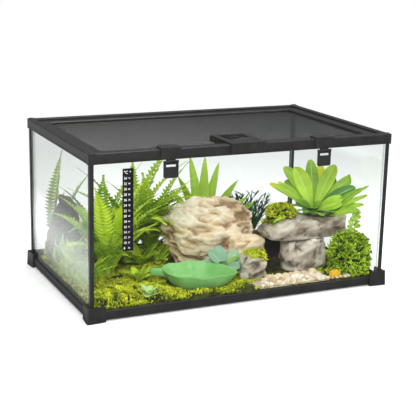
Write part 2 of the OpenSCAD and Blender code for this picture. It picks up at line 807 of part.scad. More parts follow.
module moss_bush() {
    color("#9cc22b") at(214, -108)
        stone(wide(31, 28, 38), 29, 0, 66, 6, 0.04, 1, 20, 12);
}

module moss_mound() {
    color("#8faa2c") at(120, -46, slab_z + slab_t)
        stone(wide(28, 18, 25), 0, 0, 25, 8, 0.06, 1, 18, 8);
}

// Broad rounded leaves in rings that open outwards from the middle.
module rosette_plant() {
    color("#7fb93a") at(183, -47, slab_z + slab_t) {
        stem(7, 9);
        for (i = [0:rosette_leaves - 1]) {
            share = i / (rosette_leaves - 1);
            turn = i * 137.5;
            side = 0.5 + 0.5 * abs(cos(turn));
            rotate([0, 0, turn]) translate([2, 0, 5])
                leaf(92 - 32 * share, 28 - 5 * share, 3, 80 - 46 * share * side, 30, 2.1, 4);
        }
    }
}

// Clumps of arching fronds: place, length of the fronds and turn of the clump.
fern_places = [[-146, 98, 165, 0], [-92, 104, 196, 6], [-56, 104, 156, -4], [-168, 8, 172, -8]];
// Headings of the fronds, clear of the glass behind them
fern_headings = [4, 176, -62, 246, -14, 196, -90];

module fern_plants() {
    color("#6fae2e") for (f = fern_places) at(f[0], f[1]) {
        stem(5, 12);
        for (i = [0:fern_fronds - 1]) {
            share = (i % 3) / 2;
            rotate([0, 0, f[3] + fern_headings[i]]) translate([3.4, 0, 9 - share])
                frond(f[2] * (1 - 0.16 * share), 30, 86 - 6 * share, 40 + 16 * share);
        }
    }
}

// Long pointed blades that fan out behind the sandstone.
module broad_blade_plant() {
    color("#8cc63a") at(42, 96) {
        stem(6, 12);
        for (b = [[160, 100, 78, 8], [150, 20, 80, 10], [158, 60, 84, 6], [132, -10, 70, 18],
                [138, 180, 76, 14], [108, -13, 56, 20], [112, 140, 66, 16]])
            rotate([0, 0, b[1]]) translate([1, 0, 8]) leaf(b[0], 17, 2.4, b[2], b[3], 0.8, 4);
    }
}

module dark_grass_plant() {
    color("#2f5b34") at(135, 101) {
        stem(5, 10);
        for (i = [0:9]) rotate([0, 0, i * 137.5]) translate([1, 0, 7])
            leaf(104 - 3 * i, 3.4, 1.4, 84 - 2 * i, 20 + 2 * i, 0.9, 3);
    }
}

module pale_succulent() {
    color("#9cc7a0") at(13, -60) {
        stem(5, 12);
        for (i = [0:6]) rotate([0, 0, i * 51.4 + 44]) translate([1.6, 0, 8.3 + 0.2 * i])
            leaf(30 - i % 2 * 4, 15, 3, 53 + i % 3 * 8, 34, 1.9, 4);
    }
}

module sprig_plant() {
    color("#9cc84a") at(241, -82) {
        stem(1.8, 88);
        for (i = [0:6]) rotate([0, 0, i % 2 == 0 ? 121 + 5 * i : 238 - 4 * i]) translate([0.5, 0, 60 + 4.1 * i])
            leaf(13 - i % 3, 7, 1.5, 32, 20, 1.5, 2);
    }
}

foot();  // foot_front_left
mirror_x() foot();  // foot_front_right
mirror_y() foot();  // foot_back_left
mirror_x() mirror_y() foot();  // foot_back_right
base_rail_front();
mirror_y() base_rail_front();  // base_rail_back
base_rail_left();
mirror_x() base_rail_left();  // base_rail_right
glass_floor();
glass_front();
mirror_y() glass_front();  // glass_back
glass_left();
mirror_x() glass_left();  // glass_right
silicone_beads();
post();  // post_front_left
mirror_x() post();  // post_front_right
mirror_y() post();  // post_back_left
mirror_x() mirror_y() post();  // post_back_right
top_rail_front();
top_rail_back();
top_rail_left();
mirror_x() top_rail_left();  // top_rail_right
corner_cap();  // corner_cap_front_left
mirror_x() corner_cap();  // corner_cap_front_right
mirror_y() corner_cap();  // corner_cap_back_left
mirror_x() mirror_y() corner_cap();  // corner_cap_back_right
lid_hinge_pins();
thermometer_strip();
lid_bar_front();
lid_bar_back();
lid_bar_left();
mirror_x() lid_bar_left();  // lid_bar_right
lid_mesh();
door_surround();
door_pin();
feeding_door();
translate([-latch_x, 0, 0]) latch_bracket();  // latch_bracket_left
translate([latch_x, 0, 0]) latch_bracket();  // latch_bracket_right
latch_pins();
translate([-latch_x, 0, 0]) latch_lever();  // latch_lever_left
translate([latch_x, 0, 0]) latch_lever();  // latch_lever_right
soil_bed();
moss_banks();
water_dish();
sandstone_rock();
slab_rock();
cave_rock();
prop_rock();
moss_stone();
grey_boulder();
river_pebbles();
yellow_stone();
moss_bush();
moss_mound();
rosette_plant();
fern_plants();
broad_blade_plant();
dark_grass_plant();
pale_succulent();
sprig_plant();
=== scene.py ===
"""Looks of the planted glass tank: camera, light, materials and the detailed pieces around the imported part.

Lengths in the tables are in millimetres, in the part's own frame, and are scaled once when a mesh is made.
"""
import json
import random
from math import asin, atan, atan2, copysign, cos, degrees, exp, pi, radians, sin, sqrt

import bpy
import numpy as np
from mathutils import Matrix, Vector
from mathutils.noise import noise, ridged_multi_fractal, turbulence, voronoi


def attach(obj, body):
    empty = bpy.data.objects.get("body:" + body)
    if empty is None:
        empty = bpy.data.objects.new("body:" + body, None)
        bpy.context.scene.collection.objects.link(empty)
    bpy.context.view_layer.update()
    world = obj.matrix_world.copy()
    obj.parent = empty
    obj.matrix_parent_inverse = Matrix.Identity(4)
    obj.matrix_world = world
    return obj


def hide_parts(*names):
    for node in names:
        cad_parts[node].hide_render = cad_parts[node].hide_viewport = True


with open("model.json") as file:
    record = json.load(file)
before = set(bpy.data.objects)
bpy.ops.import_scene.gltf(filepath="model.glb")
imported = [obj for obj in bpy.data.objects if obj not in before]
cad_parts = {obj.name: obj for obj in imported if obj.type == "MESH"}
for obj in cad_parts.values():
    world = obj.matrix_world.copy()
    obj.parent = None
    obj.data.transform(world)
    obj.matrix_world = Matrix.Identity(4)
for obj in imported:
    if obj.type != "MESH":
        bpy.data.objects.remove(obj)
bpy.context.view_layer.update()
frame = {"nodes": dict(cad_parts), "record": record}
NODES = frame["nodes"]
MM = 0.001
ROUND = 6.283  # once round, for the blades of a moss shoot
GOLDEN = 137.5  # degrees from one leaf to the next round a stem


def new_object(name, data):
    obj = bpy.data.objects.new(name, data)
    bpy.context.scene.collection.objects.link(obj)
    return obj


def turned(x, y, a, at=(0.0, 0.0)):
    """The point (x, y) turned by the angle a and moved to at."""
    return at[0] + x * cos(a) - y * sin(a), at[1] + x * sin(a) + y * cos(a)


def drift(x, y, scale, level):
    """Smooth noise over the ground; another level gives other noise."""
    return noise(Vector((x * scale, y * scale, level)))


# ---- camera and light


def place_camera():
    yaw, pitch, roll = (radians(a) for a in (25.25, 14.41, 1.32))
    ahead = Vector((sin(yaw) * cos(pitch), cos(yaw) * cos(pitch), -sin(pitch)))
    right = Vector((cos(yaw), -sin(yaw), 0))
    up = right.cross(ahead)
    x = right * cos(roll) + up * sin(roll)
    y = up * cos(roll) - right * sin(roll)
    data = bpy.data.cameras.new("camera")
    data.sensor_width = 36
    data.lens = 92.41
    data.clip_start, data.clip_end = 0.05, 50
    camera = new_object("camera", data)
    camera.matrix_world = Matrix((x, y, -ahead)).transposed().to_4x4()
    camera.location = (-0.7314, -1.5655, 0.5593)
    bpy.context.scene.camera = camera


def area_light(name, place, target, size, power):
    data = bpy.data.lights.new(name, "AREA")
    data.shape, data.size, data.energy = "SQUARE", size, power
    light = new_object(name, data)
    light.location = place
    light.rotation_euler = (Vector(target) - Vector(place)).to_track_quat("-Z", "Y").to_euler()


# ---- material nodes


class Nodes:
    """Short calls for the nodes of one tree."""

    def __init__(self, tree):
        self.tree = tree
        self.coord = None

    def put(self, socket, value):
        """Set a socket to a number or a colour, or link another socket to it."""
        if isinstance(value, (int, float)):
            socket.default_value = value
        elif isinstance(value, tuple):
            socket.default_value = (*value, 1)
        else:
            self.tree.links.new(value, socket)

    def add(self, kind, inputs=None, **settings):
        n = self.tree.nodes.new(kind)
        for key, value in settings.items():
            setattr(n, key, value)
        for key, value in (inputs or {}).items():
            self.put(n.inputs[key], value)
        return n

    def place(self, stretch=(1, 1, 1)):
        if self.coord is None:
            self.coord = self.add("ShaderNodeTexCoord").outputs["Object"]
        if stretch == (1, 1, 1):
            return self.coord
        mapping = self.add("ShaderNodeMapping", {"Vector": self.coord})
        mapping.inputs["Scale"].default_value = stretch
        return mapping.outputs["Vector"]

    def noise(self, scale, detail=4.0, rough=0.55, stretch=(1, 1, 1), distortion=0.0):
        return self.add("ShaderNodeTexNoise", {
            "Scale": scale, "Detail": detail, "Roughness": rough, "Distortion": distortion,
            "Vector": self.place(stretch)}).outputs["Fac"]

    def attribute(self, name):
        return self.add("ShaderNodeAttribute", attribute_name=name).outputs["Fac"]

    def split(self, vector):
        return self.add("ShaderNodeSeparateXYZ", {"Vector": vector}).outputs

    def leaf_map(self):
        """The leaf's own map: how far along it, and how far off its midrib."""
        place = self.split(self.add("ShaderNodeUVMap", uv_map="leaf").outputs["UV"])
        return place["X"], self.math("ABSOLUTE", self.math("SUBTRACT", place["Y"], 0.5))

    def ramp(self, value, stops):
        n = self.add("ShaderNodeValToRGB", {"Fac": value})
        elements = n.color_ramp.elements
        while len(elements) < len(stops):
            elements.new(0.5)
        for element, (at, colour) in zip(elements, stops):
            element.position = at
            element.color = (*colour, 1)
        return n.outputs["Color"]

    def grey(self, value, low, high, to_low=0.0, to_high=1.0):
        """A value from low to high laid over to_low to to_high, and held at both ends."""
        return self.add("ShaderNodeMapRange", {
            "Value": value, "From Min": low, "From Max": high, "To Min": to_low,
            "To Max": to_high}).outputs["Result"]

    def math(self, operation, a, b=0.0):
        return self.add("ShaderNodeMath", {0: a, 1: b}, operation=operation).outputs[0]

    def times(self, a, b):
        return self.math("MULTIPLY", a, b)

    def plus(self, a, b):
        return self.math("ADD", a, b)

    def mix(self, factor, a, b, blend="MIX"):
        """Colour a at factor 0 and colour b at 1."""
        n = self.add("ShaderNodeMix", {0: factor, 6: a, 7: b}, data_type="RGBA", blend_type=blend)
        return n.outputs[2]

    def blend(self, factor, a, b):
        """Shader a at factor 0 and shader b at 1."""
        return self.add("ShaderNodeMixShader", {0: factor, 1: a, 2: b}).outputs[0]


class Look(Nodes):
    """A material and its Principled shader."""

    def __init__(self, name, colour=(0.5, 0.5, 0.5), rough=0.5, **values):
        self.material = bpy.data.materials.new(name)
        self.material.use_nodes = True
        super().__init__(self.material.node_tree)
        self.shader = self.tree.nodes["Principled BSDF"]
        self.body = self.shader.outputs[0]
        for key, value in dict(values, Base_Color=colour, Roughness=rough).items():
            self.put(self.shader.inputs[key.replace("_", " ")], value)

    def colour(self, socket):
        self.put(self.shader.inputs["Base Color"], socket)

    def roughness(self, socket):
        self.put(self.shader.inputs["Roughness"], socket)

    def mottle(self, scale, detail, stops, rough=0.55, stretch=(1, 1, 1)):
        """A cloudy base colour."""
        self.colour(self.ramp(self.noise(scale, detail, rough, stretch), stops))

    def wear(self, scale, detail, low, high, stretch=(1, 1, 1)):
        """A roughness that wanders from low to high."""
        self.roughness(self.grey(self.noise(scale, detail, stretch=stretch), 0.3, 0.7, low, high))

    def bump(self, height, strength, distance):
        n = self.add("ShaderNodeBump", {"Strength": strength, "Distance": distance, "Height": height})
        self.put(self.shader.inputs["Normal"], n.outputs["Normal"])

    def surface(self, shader):
        self.put(self.tree.nodes["Material Output"].inputs["Surface"], shader)


def scaled(colour, k):
    return tuple(min(0.95, k * c) for c in colour)


def black_plastic():
    m = Look("black_plastic", rough=0.42, Specular_IOR_Level=0.45)
    m.mottle(60, 3, [(0.3, (0.014, 0.014, 0.0135)), (0.75, (0.024, 0.024, 0.023))])
    m.wear(180, 4, 0.36, 0.5)
    m.bump(m.noise(2600, 2), 0.25, 0.00012)
    return m


def clear_glass():
    """Float glass: a clear film of tint and, on both faces, the mirror share that grows at flat angles."""
    m = Look("glass", (0.93, 0.97, 0.95), 0.0, Metallic=1.0)
    clear = m.add("ShaderNodeBsdfTransparent", {"Color": (0.972, 0.985, 0.98)}).outputs[0]
    facing = m.add("ShaderNodeLayerWeight", {"Blend": 0.5}).outputs["Facing"]
    mirror = m.plus(m.times(m.math("POWER", facing, 5.0), 0.96), 0.036)
    m.surface(m.blend(mirror, clear, m.body))
    return m


def silicone():
    """Clear silicone: mostly see-through, with a faint milky body."""
    m = Look("silicone", rough=0.35)
    m.mottle(90, 3, [(0.3, (0.6, 0.63, 0.62)), (0.7, (0.74, 0.76, 0.75))])
    m.bump(m.noise(300, 3), 0.3, 0.0004)
    clear = m.add("ShaderNodeBsdfTransparent", {"Color": (0.86, 0.88, 0.87)}).outputs[0]
    m.surface(m.blend(0.16, clear, m.body))
    return m


def steel():
    m = Look("steel_pin", rough=0.3, Metallic=1.0)
    m.mottle(900, 4, [(0.3, (0.38, 0.38, 0.37)), (0.7, (0.62, 0.62, 0.6))], stretch=(0.1, 1, 1))
    m.wear(700, 4, 0.22, 0.42, (0.05, 1, 1))
    return m


def stone_material(name, stops, scale, pits, pit_and_shade_colour, layers, rough, grain, depth=0.8):
    """Stone with pits and fine grain, painted dark in its hollows and undersides and pale on its ridges and
    tops: painted shade and painted light.
    """
    m = Look(name, rough=rough, Specular_IOR_Level=0.3)
    pale = stops[-1][1]
    cloud = m.noise(scale, 8, 0.62, (1, 1, 1 + 3 * layers), 0.4)
    base = m.ramp(cloud, stops)
    fine = m.noise(scale * 14, 5, 0.7)
    base = m.mix(m.grey(fine, 0.35, 0.75, 0.0, grain), base, scaled(pale, 0.62), "MULTIPLY")
    hole = m.grey(m.noise(scale * 3.4, 4, 0.5), 0.36, 0.28)
    base = m.mix(m.times(hole, pits), base, pit_and_shade_colour)
    # painted light and shade: the shade attribute from the relief, dark in hollows and undersides, light on
    # ridges and tops, stirred by the grain
    painted_light_and_grain = m.plus(m.attribute("shade"), m.times(m.math("SUBTRACT", fine, 0.5), 0.35))
    # painted shade: the pit colour laid into the hollows and undersides
    base = m.mix(m.grey(painted_light_and_grain, 0.45, 0.02, 0.0, depth), base, pit_and_shade_colour)
    # painted highlight: a paler colour laid onto the ridges and tops
    base = m.mix(m.grey(painted_light_and_grain, 0.56, 0.95, 0.0, 0.5 * depth), base, scaled(pale, 1.12))
    m.colour(base)
    m.roughness(m.grey(fine, 0.3, 0.7, rough - 0.12, min(1.0, rough + 0.1)))
    m.bump(m.plus(m.times(cloud, 1.4), m.times(fine, 0.55)), 0.7, 0.0016)
    return m


def leaf_material(name, dark, light, rib, rough, ribs, veins, vein_share):
    """A leaf with a pale midrib and side veins: ribs and vein_share say how strong they are."""
    m = Look(name, rough=rough, Specular_IOR_Level=0.4)
    along, across = m.leaf_map()
    shade = m.plus(m.attribute("shade"), m.times(m.math("SUBTRACT", m.noise(45, 4), 0.5), 0.9))
    base = m.mix(m.grey(shade, 0.0, 1.0), dark, light)
    slant = m.math("SUBTRACT", along, m.times(across, 0.55))
    vein = m.grey(m.math("SINE", m.times(slant, veins * 2 * pi)), 0.55, 1.0)
    base = m.mix(m.times(vein, vein_share), base, rib)
    middle = m.grey(across, 0.055, 0.015)
    base = m.mix(m.times(middle, ribs), base, rib)
    # painted shade: each leaf darker towards its foot
    base = m.mix(m.grey(along, 0.0, 0.22, 0.35, 0.0), base, scaled(dark, 0.45))
    m.colour(base)
    m.wear(160, 3, rough - 0.06, rough + 0.1)
    m.bump(m.plus(m.times(middle, -0.8), m.times(vein, -0.35)), 0.6, 0.0006)
    return m


def moss_material(name, dark, mid, light, scale=55.0):
    """Moss shoots: a shade for each shoot over broad patches."""
    m = Look(name, rough=0.75, Specular_IOR_Level=0.25)
    shade = m.plus(m.attribute("shade"), m.times(m.math("SUBTRACT", m.noise(scale, 4), 0.5), 1.1))
    m.colour(m.ramp(shade, [(0.05, dark), (0.5, mid), (0.95, light)]))
    m.wear(400, 2, 0.65, 0.9)
    return m


MOSS = moss_material("moss", (0.05, 0.075, 0.004), (0.5, 0.57, 0.015), (0.88, 0.88, 0.05))
BUSH = moss_material("bush", (0.03, 0.07, 0.003), (0.36, 0.55, 0.015), (0.76, 0.88, 0.06), 260)
ROSETTE, YELLOW, BLADE, FERN, GRASS, PALE, YOUNG, SPRIG = (
    leaf_material(name + "_leaves", *values) for name, *values in (
        ("rosette", (0.06, 0.24, 0.02), (0.5, 0.74, 0.06), (0.66, 0.84, 0.24), 0.36, 0.7, 9, 0.08),
        ("yellow", (0.5, 0.62, 0.02), (0.85, 0.85, 0.03), (0.9, 0.9, 0.2), 0.4, 0.5, 7, 0.1),
        ("blade", (0.26, 0.5, 0.03), (0.52, 0.78, 0.08), (0.66, 0.84, 0.2), 0.4, 0.5, 3, 0.05),
        ("fern", (0.17, 0.38, 0.012), (0.62, 0.8, 0.035), (0.68, 0.84, 0.14), 0.5, 0.3, 4, 0.1),
        ("grass", (0.012, 0.06, 0.02), (0.05, 0.17, 0.06), (0.1, 0.24, 0.1), 0.5, 0.4, 4, 0.1),
        ("pale", (0.16, 0.34, 0.2), (0.4, 0.6, 0.42), (0.56, 0.74, 0.56), 0.45, 0.5, 7, 0.15),
        ("young", (0.3, 0.56, 0.12), (0.56, 0.78, 0.3), (0.7, 0.86, 0.5), 0.45, 0.5, 6, 0.1),
        ("sprig", (0.25, 0.5, 0.05), (0.55, 0.76, 0.12), (0.68, 0.84, 0.24), 0.45, 0.4, 5, 0.1)))


# ---- mesh building


class Mesh:
    """Collects points in mm, faces, leaf coordinates and a shade for each point, and makes one piece."""

    def __init__(self):
        self.points, self.faces, self.maps, self.shades = [], [], [], []
        self.count = 0

    def add(self, points, faces, maps=None, shade=0.5):
        points = np.asarray(points, float)
        n = len(points)
        self.points.append(points)
        self.faces.extend([tuple(i + self.count for i in f) for f in faces])
        self.maps.append(np.asarray(maps, float) if maps is not None else np.full((n, 2), 0.5))
        self.shades.append(np.broadcast_to(np.asarray(shade, float), (n,)))
        self.count += n

    def piece(self, name, look, slot, nodes=(), body="tank", smooth=True, thick=0.0, clamp=None):
        points = np.vstack(self.points)
        if clamp is not None:
            points = np.clip(points, clamp[0], clamp[1])
        mesh = bpy.data.meshes.new(name)
        mesh.from_pydata((points * MM).tolist(), [], self.faces)
        layer = mesh.uv_layers.new(name="leaf")
        loops = np.zeros(len(mesh.loops), np.int32)
        mesh.loops.foreach_get("vertex_index", loops)
        layer.data.foreach_set("uv", np.vstack(self.maps)[loops].astype(np.float32).ravel())
        shade = mesh.attributes.new("shade", "FLOAT", "POINT")
        shade.data.foreach_set("value", np.concatenate(self.shades).astype(np.float32))
        mesh.polygons.foreach_set("use_smooth", np.full(len(mesh.polygons), smooth))
        mesh.materials.append(look.material)
        mesh.update()
        piece = new_object(name, mesh)
        if thick:
            solid = piece.modifiers.new("thickness", "SOLIDIFY")
            solid.thickness = thick * MM
            solid.offset = 0
        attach(piece, body)
        if nodes:
            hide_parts(*nodes)


def grid_faces(rows, columns, wrap=False):
    """Quads between neighbouring rows of points; wrap joins the last column to the first."""
    return [
        (r * columns + c, r * columns + (c + 1) % columns,
         (r + 1) * columns + (c + 1) % columns, (r + 1) * columns + c)
        for r in range(rows - 1) for c in range(columns if wrap else columns - 1)]


def leaf_form(t, blunt):
    return max(0.05, max(0.0, sin(pi * min(1.0, t) ** blunt)) ** 0.7)


def paddle(t, middle):
    """Half width of a leaf with a stalk and a rounded end, widest at middle."""
    if t > middle:
        return sqrt(max(0.0, 1 - ((t - middle) / (1 - middle)) ** 2))
    return 0.17 + 0.83 * sin(pi / 2 * t / middle) ** 1.5


def add_leaf(mesh, base, heading, length, width, lift, droop, fold, cup, roll, steps, across, shade,
             sway=0.0, blunt=1.0, middle=0.0):
    """One leaf: fold lifts its edges off the midrib, cup curves it, roll turns it, sway bends it sideways.

    With a middle it is a paddle, widest there; without one it tapers, and blunt says how soon it widens.
    """
    h, r, a0, d = (radians(v) for v in (heading, roll, lift, droop))
    points, maps = [], []
    for i in range(steps + 1):
        t = sin(pi / 2 * i / steps) ** 0.9 if middle else i / steps
        a = a0 - d * t
        out, up = length * (sin(a0) - sin(a)) / d, length * (cos(a) - cos(a0)) / d
        if middle:
            w = width / 2 * max(0.02, paddle(t, middle))
        else:
            w = width / 2 * (leaf_form(0.05 + 0.95 * t, blunt) if t < 1 else 0.0)
        for c in range(across + 1):
            v = 2 * c / across - 1
            rise = fold * abs(v) * w + cup * v * v * w
            y, z = turned(v * w, rise, r)
            points.append((*turned(out - z * sin(a), y + sway * t * t, h, base), base[2] + up + z * cos(a)))
            maps.append((t, c / across))
    mesh.add(points, grid_faces(steps + 1, across + 1), maps, shade)


def add_stalk(mesh, a, b, r0, r1, sides, shade):
    a, b = Vector(a), Vector(b)
    turn = (b - a).to_track_quat("Z", "Y")
    points = [place + turn @ Vector((r * cos(2 * pi * k / sides), r * sin(2 * pi * k / sides), 0))
              for place, r in ((a, r0), (b, r1)) for k in range(sides)]
    mesh.add(points, grid_faces(2, sides, True) + [tuple(range(sides, 2 * sides))], None, shade)


def bend(length, lift, droop, steps):
    """Points (out, up) along a stem that leaves at angle lift and bends over by droop degrees."""
    out, up, points = 0.0, 0.0, [(0.0, 0.0)]
    for j in range(steps):
        a = radians(lift - droop * (j + 0.5) / steps)
        out += length / steps * cos(a)
        up += length / steps * sin(a)
        points.append((out, up))
    return points


def add_fern_frond(mesh, base, heading, length, width, lift, droop, rng, pairs, shade, sway=0.0):
    """A frond: a thin rib and pairs of drooping leaflets that shorten towards both ends."""
    h = radians(heading)
    side, ahead = Vector((-sin(h), cos(h), 0)), Vector((cos(h), sin(h), 0))
    track = bend(length, lift, droop, 2 * pairs)
    n = len(track)
    rib = [Vector(base) + ahead * o + Vector((0, 0, u)) + side * sway * (i / n) ** 2
           for i, (o, u) in enumerate(track)]
    for i in range(0, n - 2, 4):
        j = min(i + 4, n - 1)
        add_stalk(mesh, rib[i], rib[j], 0.8 - 0.6 * i / n, 0.8 - 0.6 * j / n, 3, shade - 0.25)
    for i in range(3, n):
        t = i / (n - 1)
        reach = width / 2 * max(0.12, sin(pi * min(1, 0.12 + 0.9 * t) ** 0.85)) * rng.uniform(0.88, 1.08)
        if i % 2:
            continue
        forward = (rib[min(i + 1, n - 1)] - rib[i - 1]).normalized()
        normal = side.cross(forward)
        for s in (-1, 1):
            out = (side * s + forward * 0.42 - normal * 0.16).normalized()
            w = length / n * 2.0
            tip = rib[i] + out * reach + normal * -0.14 * reach * rng.uniform(0.3, 1.4)
            mid = rib[i] + out * reach * 0.5 + normal * 0.05 * reach
            # painted shade: leaflets darker towards the frond's foot and lighter towards its tip
            mesh.add(
                [rib[i], mid - forward * w * 0.62, mid + forward * w * 0.62, tip, rib[i] + forward * w * 0.6],
                [(0, 1, 3), (0, 3, 2), (0, 2, 4)],
                [(0.1, 0.5), (0.5, 0.0), (0.5, 1.0), (1, 0.5), (0.1, 0.7)],
                shade + 0.5 * (t - 0.6) + rng.uniform(-0.16, 0.16))


def add_tuft(mesh, place, up, size, rng, shade, blades=4, wide=0.17):
    """A moss shoot: a few short curved blades from one point."""
    turn = Vector(up).normalized().to_track_quat("Z", "Y")
    start = rng.uniform(0, ROUND)
    points, faces = [], []
    for k in range(blades):
        a = start + k * ROUND / blades + rng.uniform(-0.4, 0.4)
        tilt = rng.uniform(0.25, 1.0) * 0.8
        out, side = Vector((cos(a), sin(a), 0)), Vector((-sin(a), cos(a), 0))
        l, w = size * rng.uniform(0.7, 1.2), size * wide
        knee = out * l * tilt * 0.45 + Vector((0, 0, l * 0.62))
        tip = out * l * tilt + Vector((0, 0, l * 0.85))
        ring = [-side * w, side * w, knee + side * w, knee - side * w, tip]
        n = len(points)
        points += [Vector(place) + turn @ p for p in ring]
        faces += [(n, n + 1, n + 2, n + 3), (n + 3, n + 2, n + 4)]
    mesh.add(points, faces, None, shade)


# ---- stones


def ripple(n, seed):
    """Slow waves over the directions n, the same that shape the solid stones."""
    s, c = (lambda d: sin(radians(d))), (lambda d: cos(radians(d)))
    return (0.45 * s(190 * n[0] + 57 * seed) * c(150 * n[2]) + 0.35 * s(230 * n[1] - 31 * seed + 90 * n[2])
            + 0.3 * s(320 * n[2] + 83 * seed + 120 * n[0]) + 0.2 * s(420 * (n[0] + n[1]) + 11 * seed))


def lobe(v, p):
    return copysign(abs(v) ** p, v)


def soft_clip(v, high, edge):
    """v held between 0 and high, with its corner at high rounded over the width edge."""
    if v > high - edge:
        v = high - edge * exp(-(v - high + edge) / edge)
    return max(0.0, v)


def direction(a, b):
    return cos(b) * cos(a), cos(b) * sin(a), sin(b)


def add_stone(mesh, at, s, c, high, seed, rough, square, carve, lon, lat, edge, turn=0.0):
    """A stone of the part in fine steps: half sizes s about the height c, cut at high, relief by carve()."""
    grid = []
    for j in range(lat + 1):
        b = radians(-90 + 180 * j / lat)
        for i in range(lon):
            a = 2 * pi * i / lon
            k = 1 + rough * ripple(direction(a, b), seed)
            h = lobe(max(0.0, cos(b)), square)
            grid.append((s[0] * k * h * lobe(cos(a), square), s[1] * k * h * lobe(sin(a), square),
                         soft_clip(c + s[2] * k * lobe(sin(b), square), high, edge)))
    grid = np.array(grid)
    rows = grid.reshape(lat + 1, lon, 3)
    along = np.roll(rows, -1, 1) - np.roll(rows, 1, 1)
    normal = np.cross(along, np.gradient(rows, axis=0)).reshape(-1, 3)
    normal /= np.maximum(np.linalg.norm(normal, axis=1, keepdims=True), 1e-9)
    out, shades = [], []
    for p, n in zip(grid, normal):
        d = carve(Vector(p), n) if p[2] > 0.5 else 0.0
        # painted light and shade: darker in carved hollows and on undersides, lighter on ridges and tops
        shades.append(min(1.0, max(0.0, 0.46 + 0.11 * d + 0.2 * n[2])))
        q = p + n * d
        out.append((*turned(q[0], q[1], radians(turn), at), at[2] + max(0.0, q[2])))
    mesh.add(out, grid_faces(lat + 1, lon, True), None, shades)
    return np.array(out), normal


def stone_piece(name, look, slot, nodes, *form):
    mesh = Mesh()
    surface = add_stone(mesh, *form)
    mesh.piece(name, look, slot, nodes)
    return surface


def sandstone_relief(p, n):
    """Wind-carved bowls with sharp rims that lean to the right, over broad swells."""
    q = Vector((p.x * 0.019 - p.z * 0.012, p.y * 0.03, p.z * 0.052 + p.x * 0.013))
    q = q + 0.35 * Vector((noise(q * 2.1), noise(q * 2.1 + Vector((5, 0, 0))), noise(q * 1.9)))
    bowl, dent = (min(1.0, voronoi(v)[0][0] * 1.5) ** 2 for v in (q, q * 2.6 + Vector((3, 1, 7))))
    cut = max(0.0, 0.5 - abs(noise(q * 1.15 + Vector((1, 8, 2)))) * 7)
    shoulder = max(0.0, (p.x - 10) / 78) * max(0.0, (p.z - 56) / 56)
    return (8.0 * (bowl - 0.62) + 3.0 * (dent - 0.5) - 7.0 * cut - 16 * shoulder
            + 1.2 * turbulence(q * 6, 3, False))


def rock_relief(p, n):
    """Broken grey rock: broad swells, long cracks and a grain."""
    q = Vector((p.x * 0.018 + p.z * 0.008, p.y * 0.03, p.z * 0.036 - p.x * 0.011))
    crack = ridged_multi_fractal(q * 1.5 + Vector((7, 3, 1)), 0.9, 2.2, 4, 1.0, 2.0)
    cut = max(0.0, 0.5 - abs(noise(q * 1.3 + Vector((4, 2, 6)))) * 6)
    swell = noise(q * 2.0)
    return 2.4 * (crack - 1.0) + 4.2 * swell - 6.0 * cut + 1.2 * turbulence(q * 8, 3, False) - 0.6


def crag_relief(p, n):
    """A craggy peak, cut back towards its top."""
    q = Vector((p.x * 0.022, p.y * 0.022, p.z * 0.026))
    crack = ridged_multi_fractal(q * 1.1 + Vector((2, 9, 4)), 0.9, 2.2, 5, 1.0, 2.0)
    back = max(0.0, (p.z - 34) / 96)
    foot = max(0.0, 1 - p.z / 60)
    return 5 * foot - 13 * back * (1 - 0.5 * abs(n[2])) + 6.0 * (crack - 1.2) + 4.0 * noise(q * 3.1) - 1


def smooth_relief(p, n):
    return 0.3 * noise(p * 0.12)


def cushion_relief(p, n):
    return 2.2 * noise(p * 0.16)


# ---- ground

SEAT = 14.0
SLAB_TOP = 101.0
SOIL_X, SOIL_Y, SOIL_FOOT = 245.5, 147.5, 10.0
MOSS_SHOOTS = 15000
# Moss banks: middle x, middle y, half sizes and height
BANKS = [(-200, -112, 40, 32, 18), (-216, -30, 27, 42, 15), (-128, -127, 30, 18, 14), (-62, -140, 34, 6, 8),
         (8, -134, 20, 12, 10), (196, 112, 42, 28, 18), (221, 44, 22, 34, 14)]
# Places where no moss grows: middle x, middle y and half sizes of something that stands there
BARE = [(28, 34, 82, 38), (66, -32, 32, 16), (156, -62, 38, 28), (-214, 92, 28, 46),
        (98, -125, 70, 26), (214, -110, 29, 28), (130, -44, 76, 54), (49, -88, 21, 15)]
DISH_AT, DISH_TURN = (-115, -49), radians(-30)
DISH_LONG, DISH_WIDE, DISH_WALL, DISH_STEM = 140.0, 91.0, 3.0, 18


def off_middle(x, y, mx, my, sx, sy):
    """Square of the distance from an oval's middle, 1 on its edge."""
    return ((x - mx) / sx) ** 2 + ((y - my) / sy) ** 2


def ground_height(x, y):
    z = SEAT
    for *oval, h in BANKS:
        d = off_middle(x, y, *oval)
        if d < 1:
            z += h * (1 - d) ** 0.6
    return z


def bare(x, y):
    along, across = turned(x - DISH_AT[0], y - DISH_AT[1], -DISH_TURN)
    return off_middle(along, across, 74, 0, 50, 36) < 1 or any(off_middle(x, y, *oval) < 1 for oval in BARE)


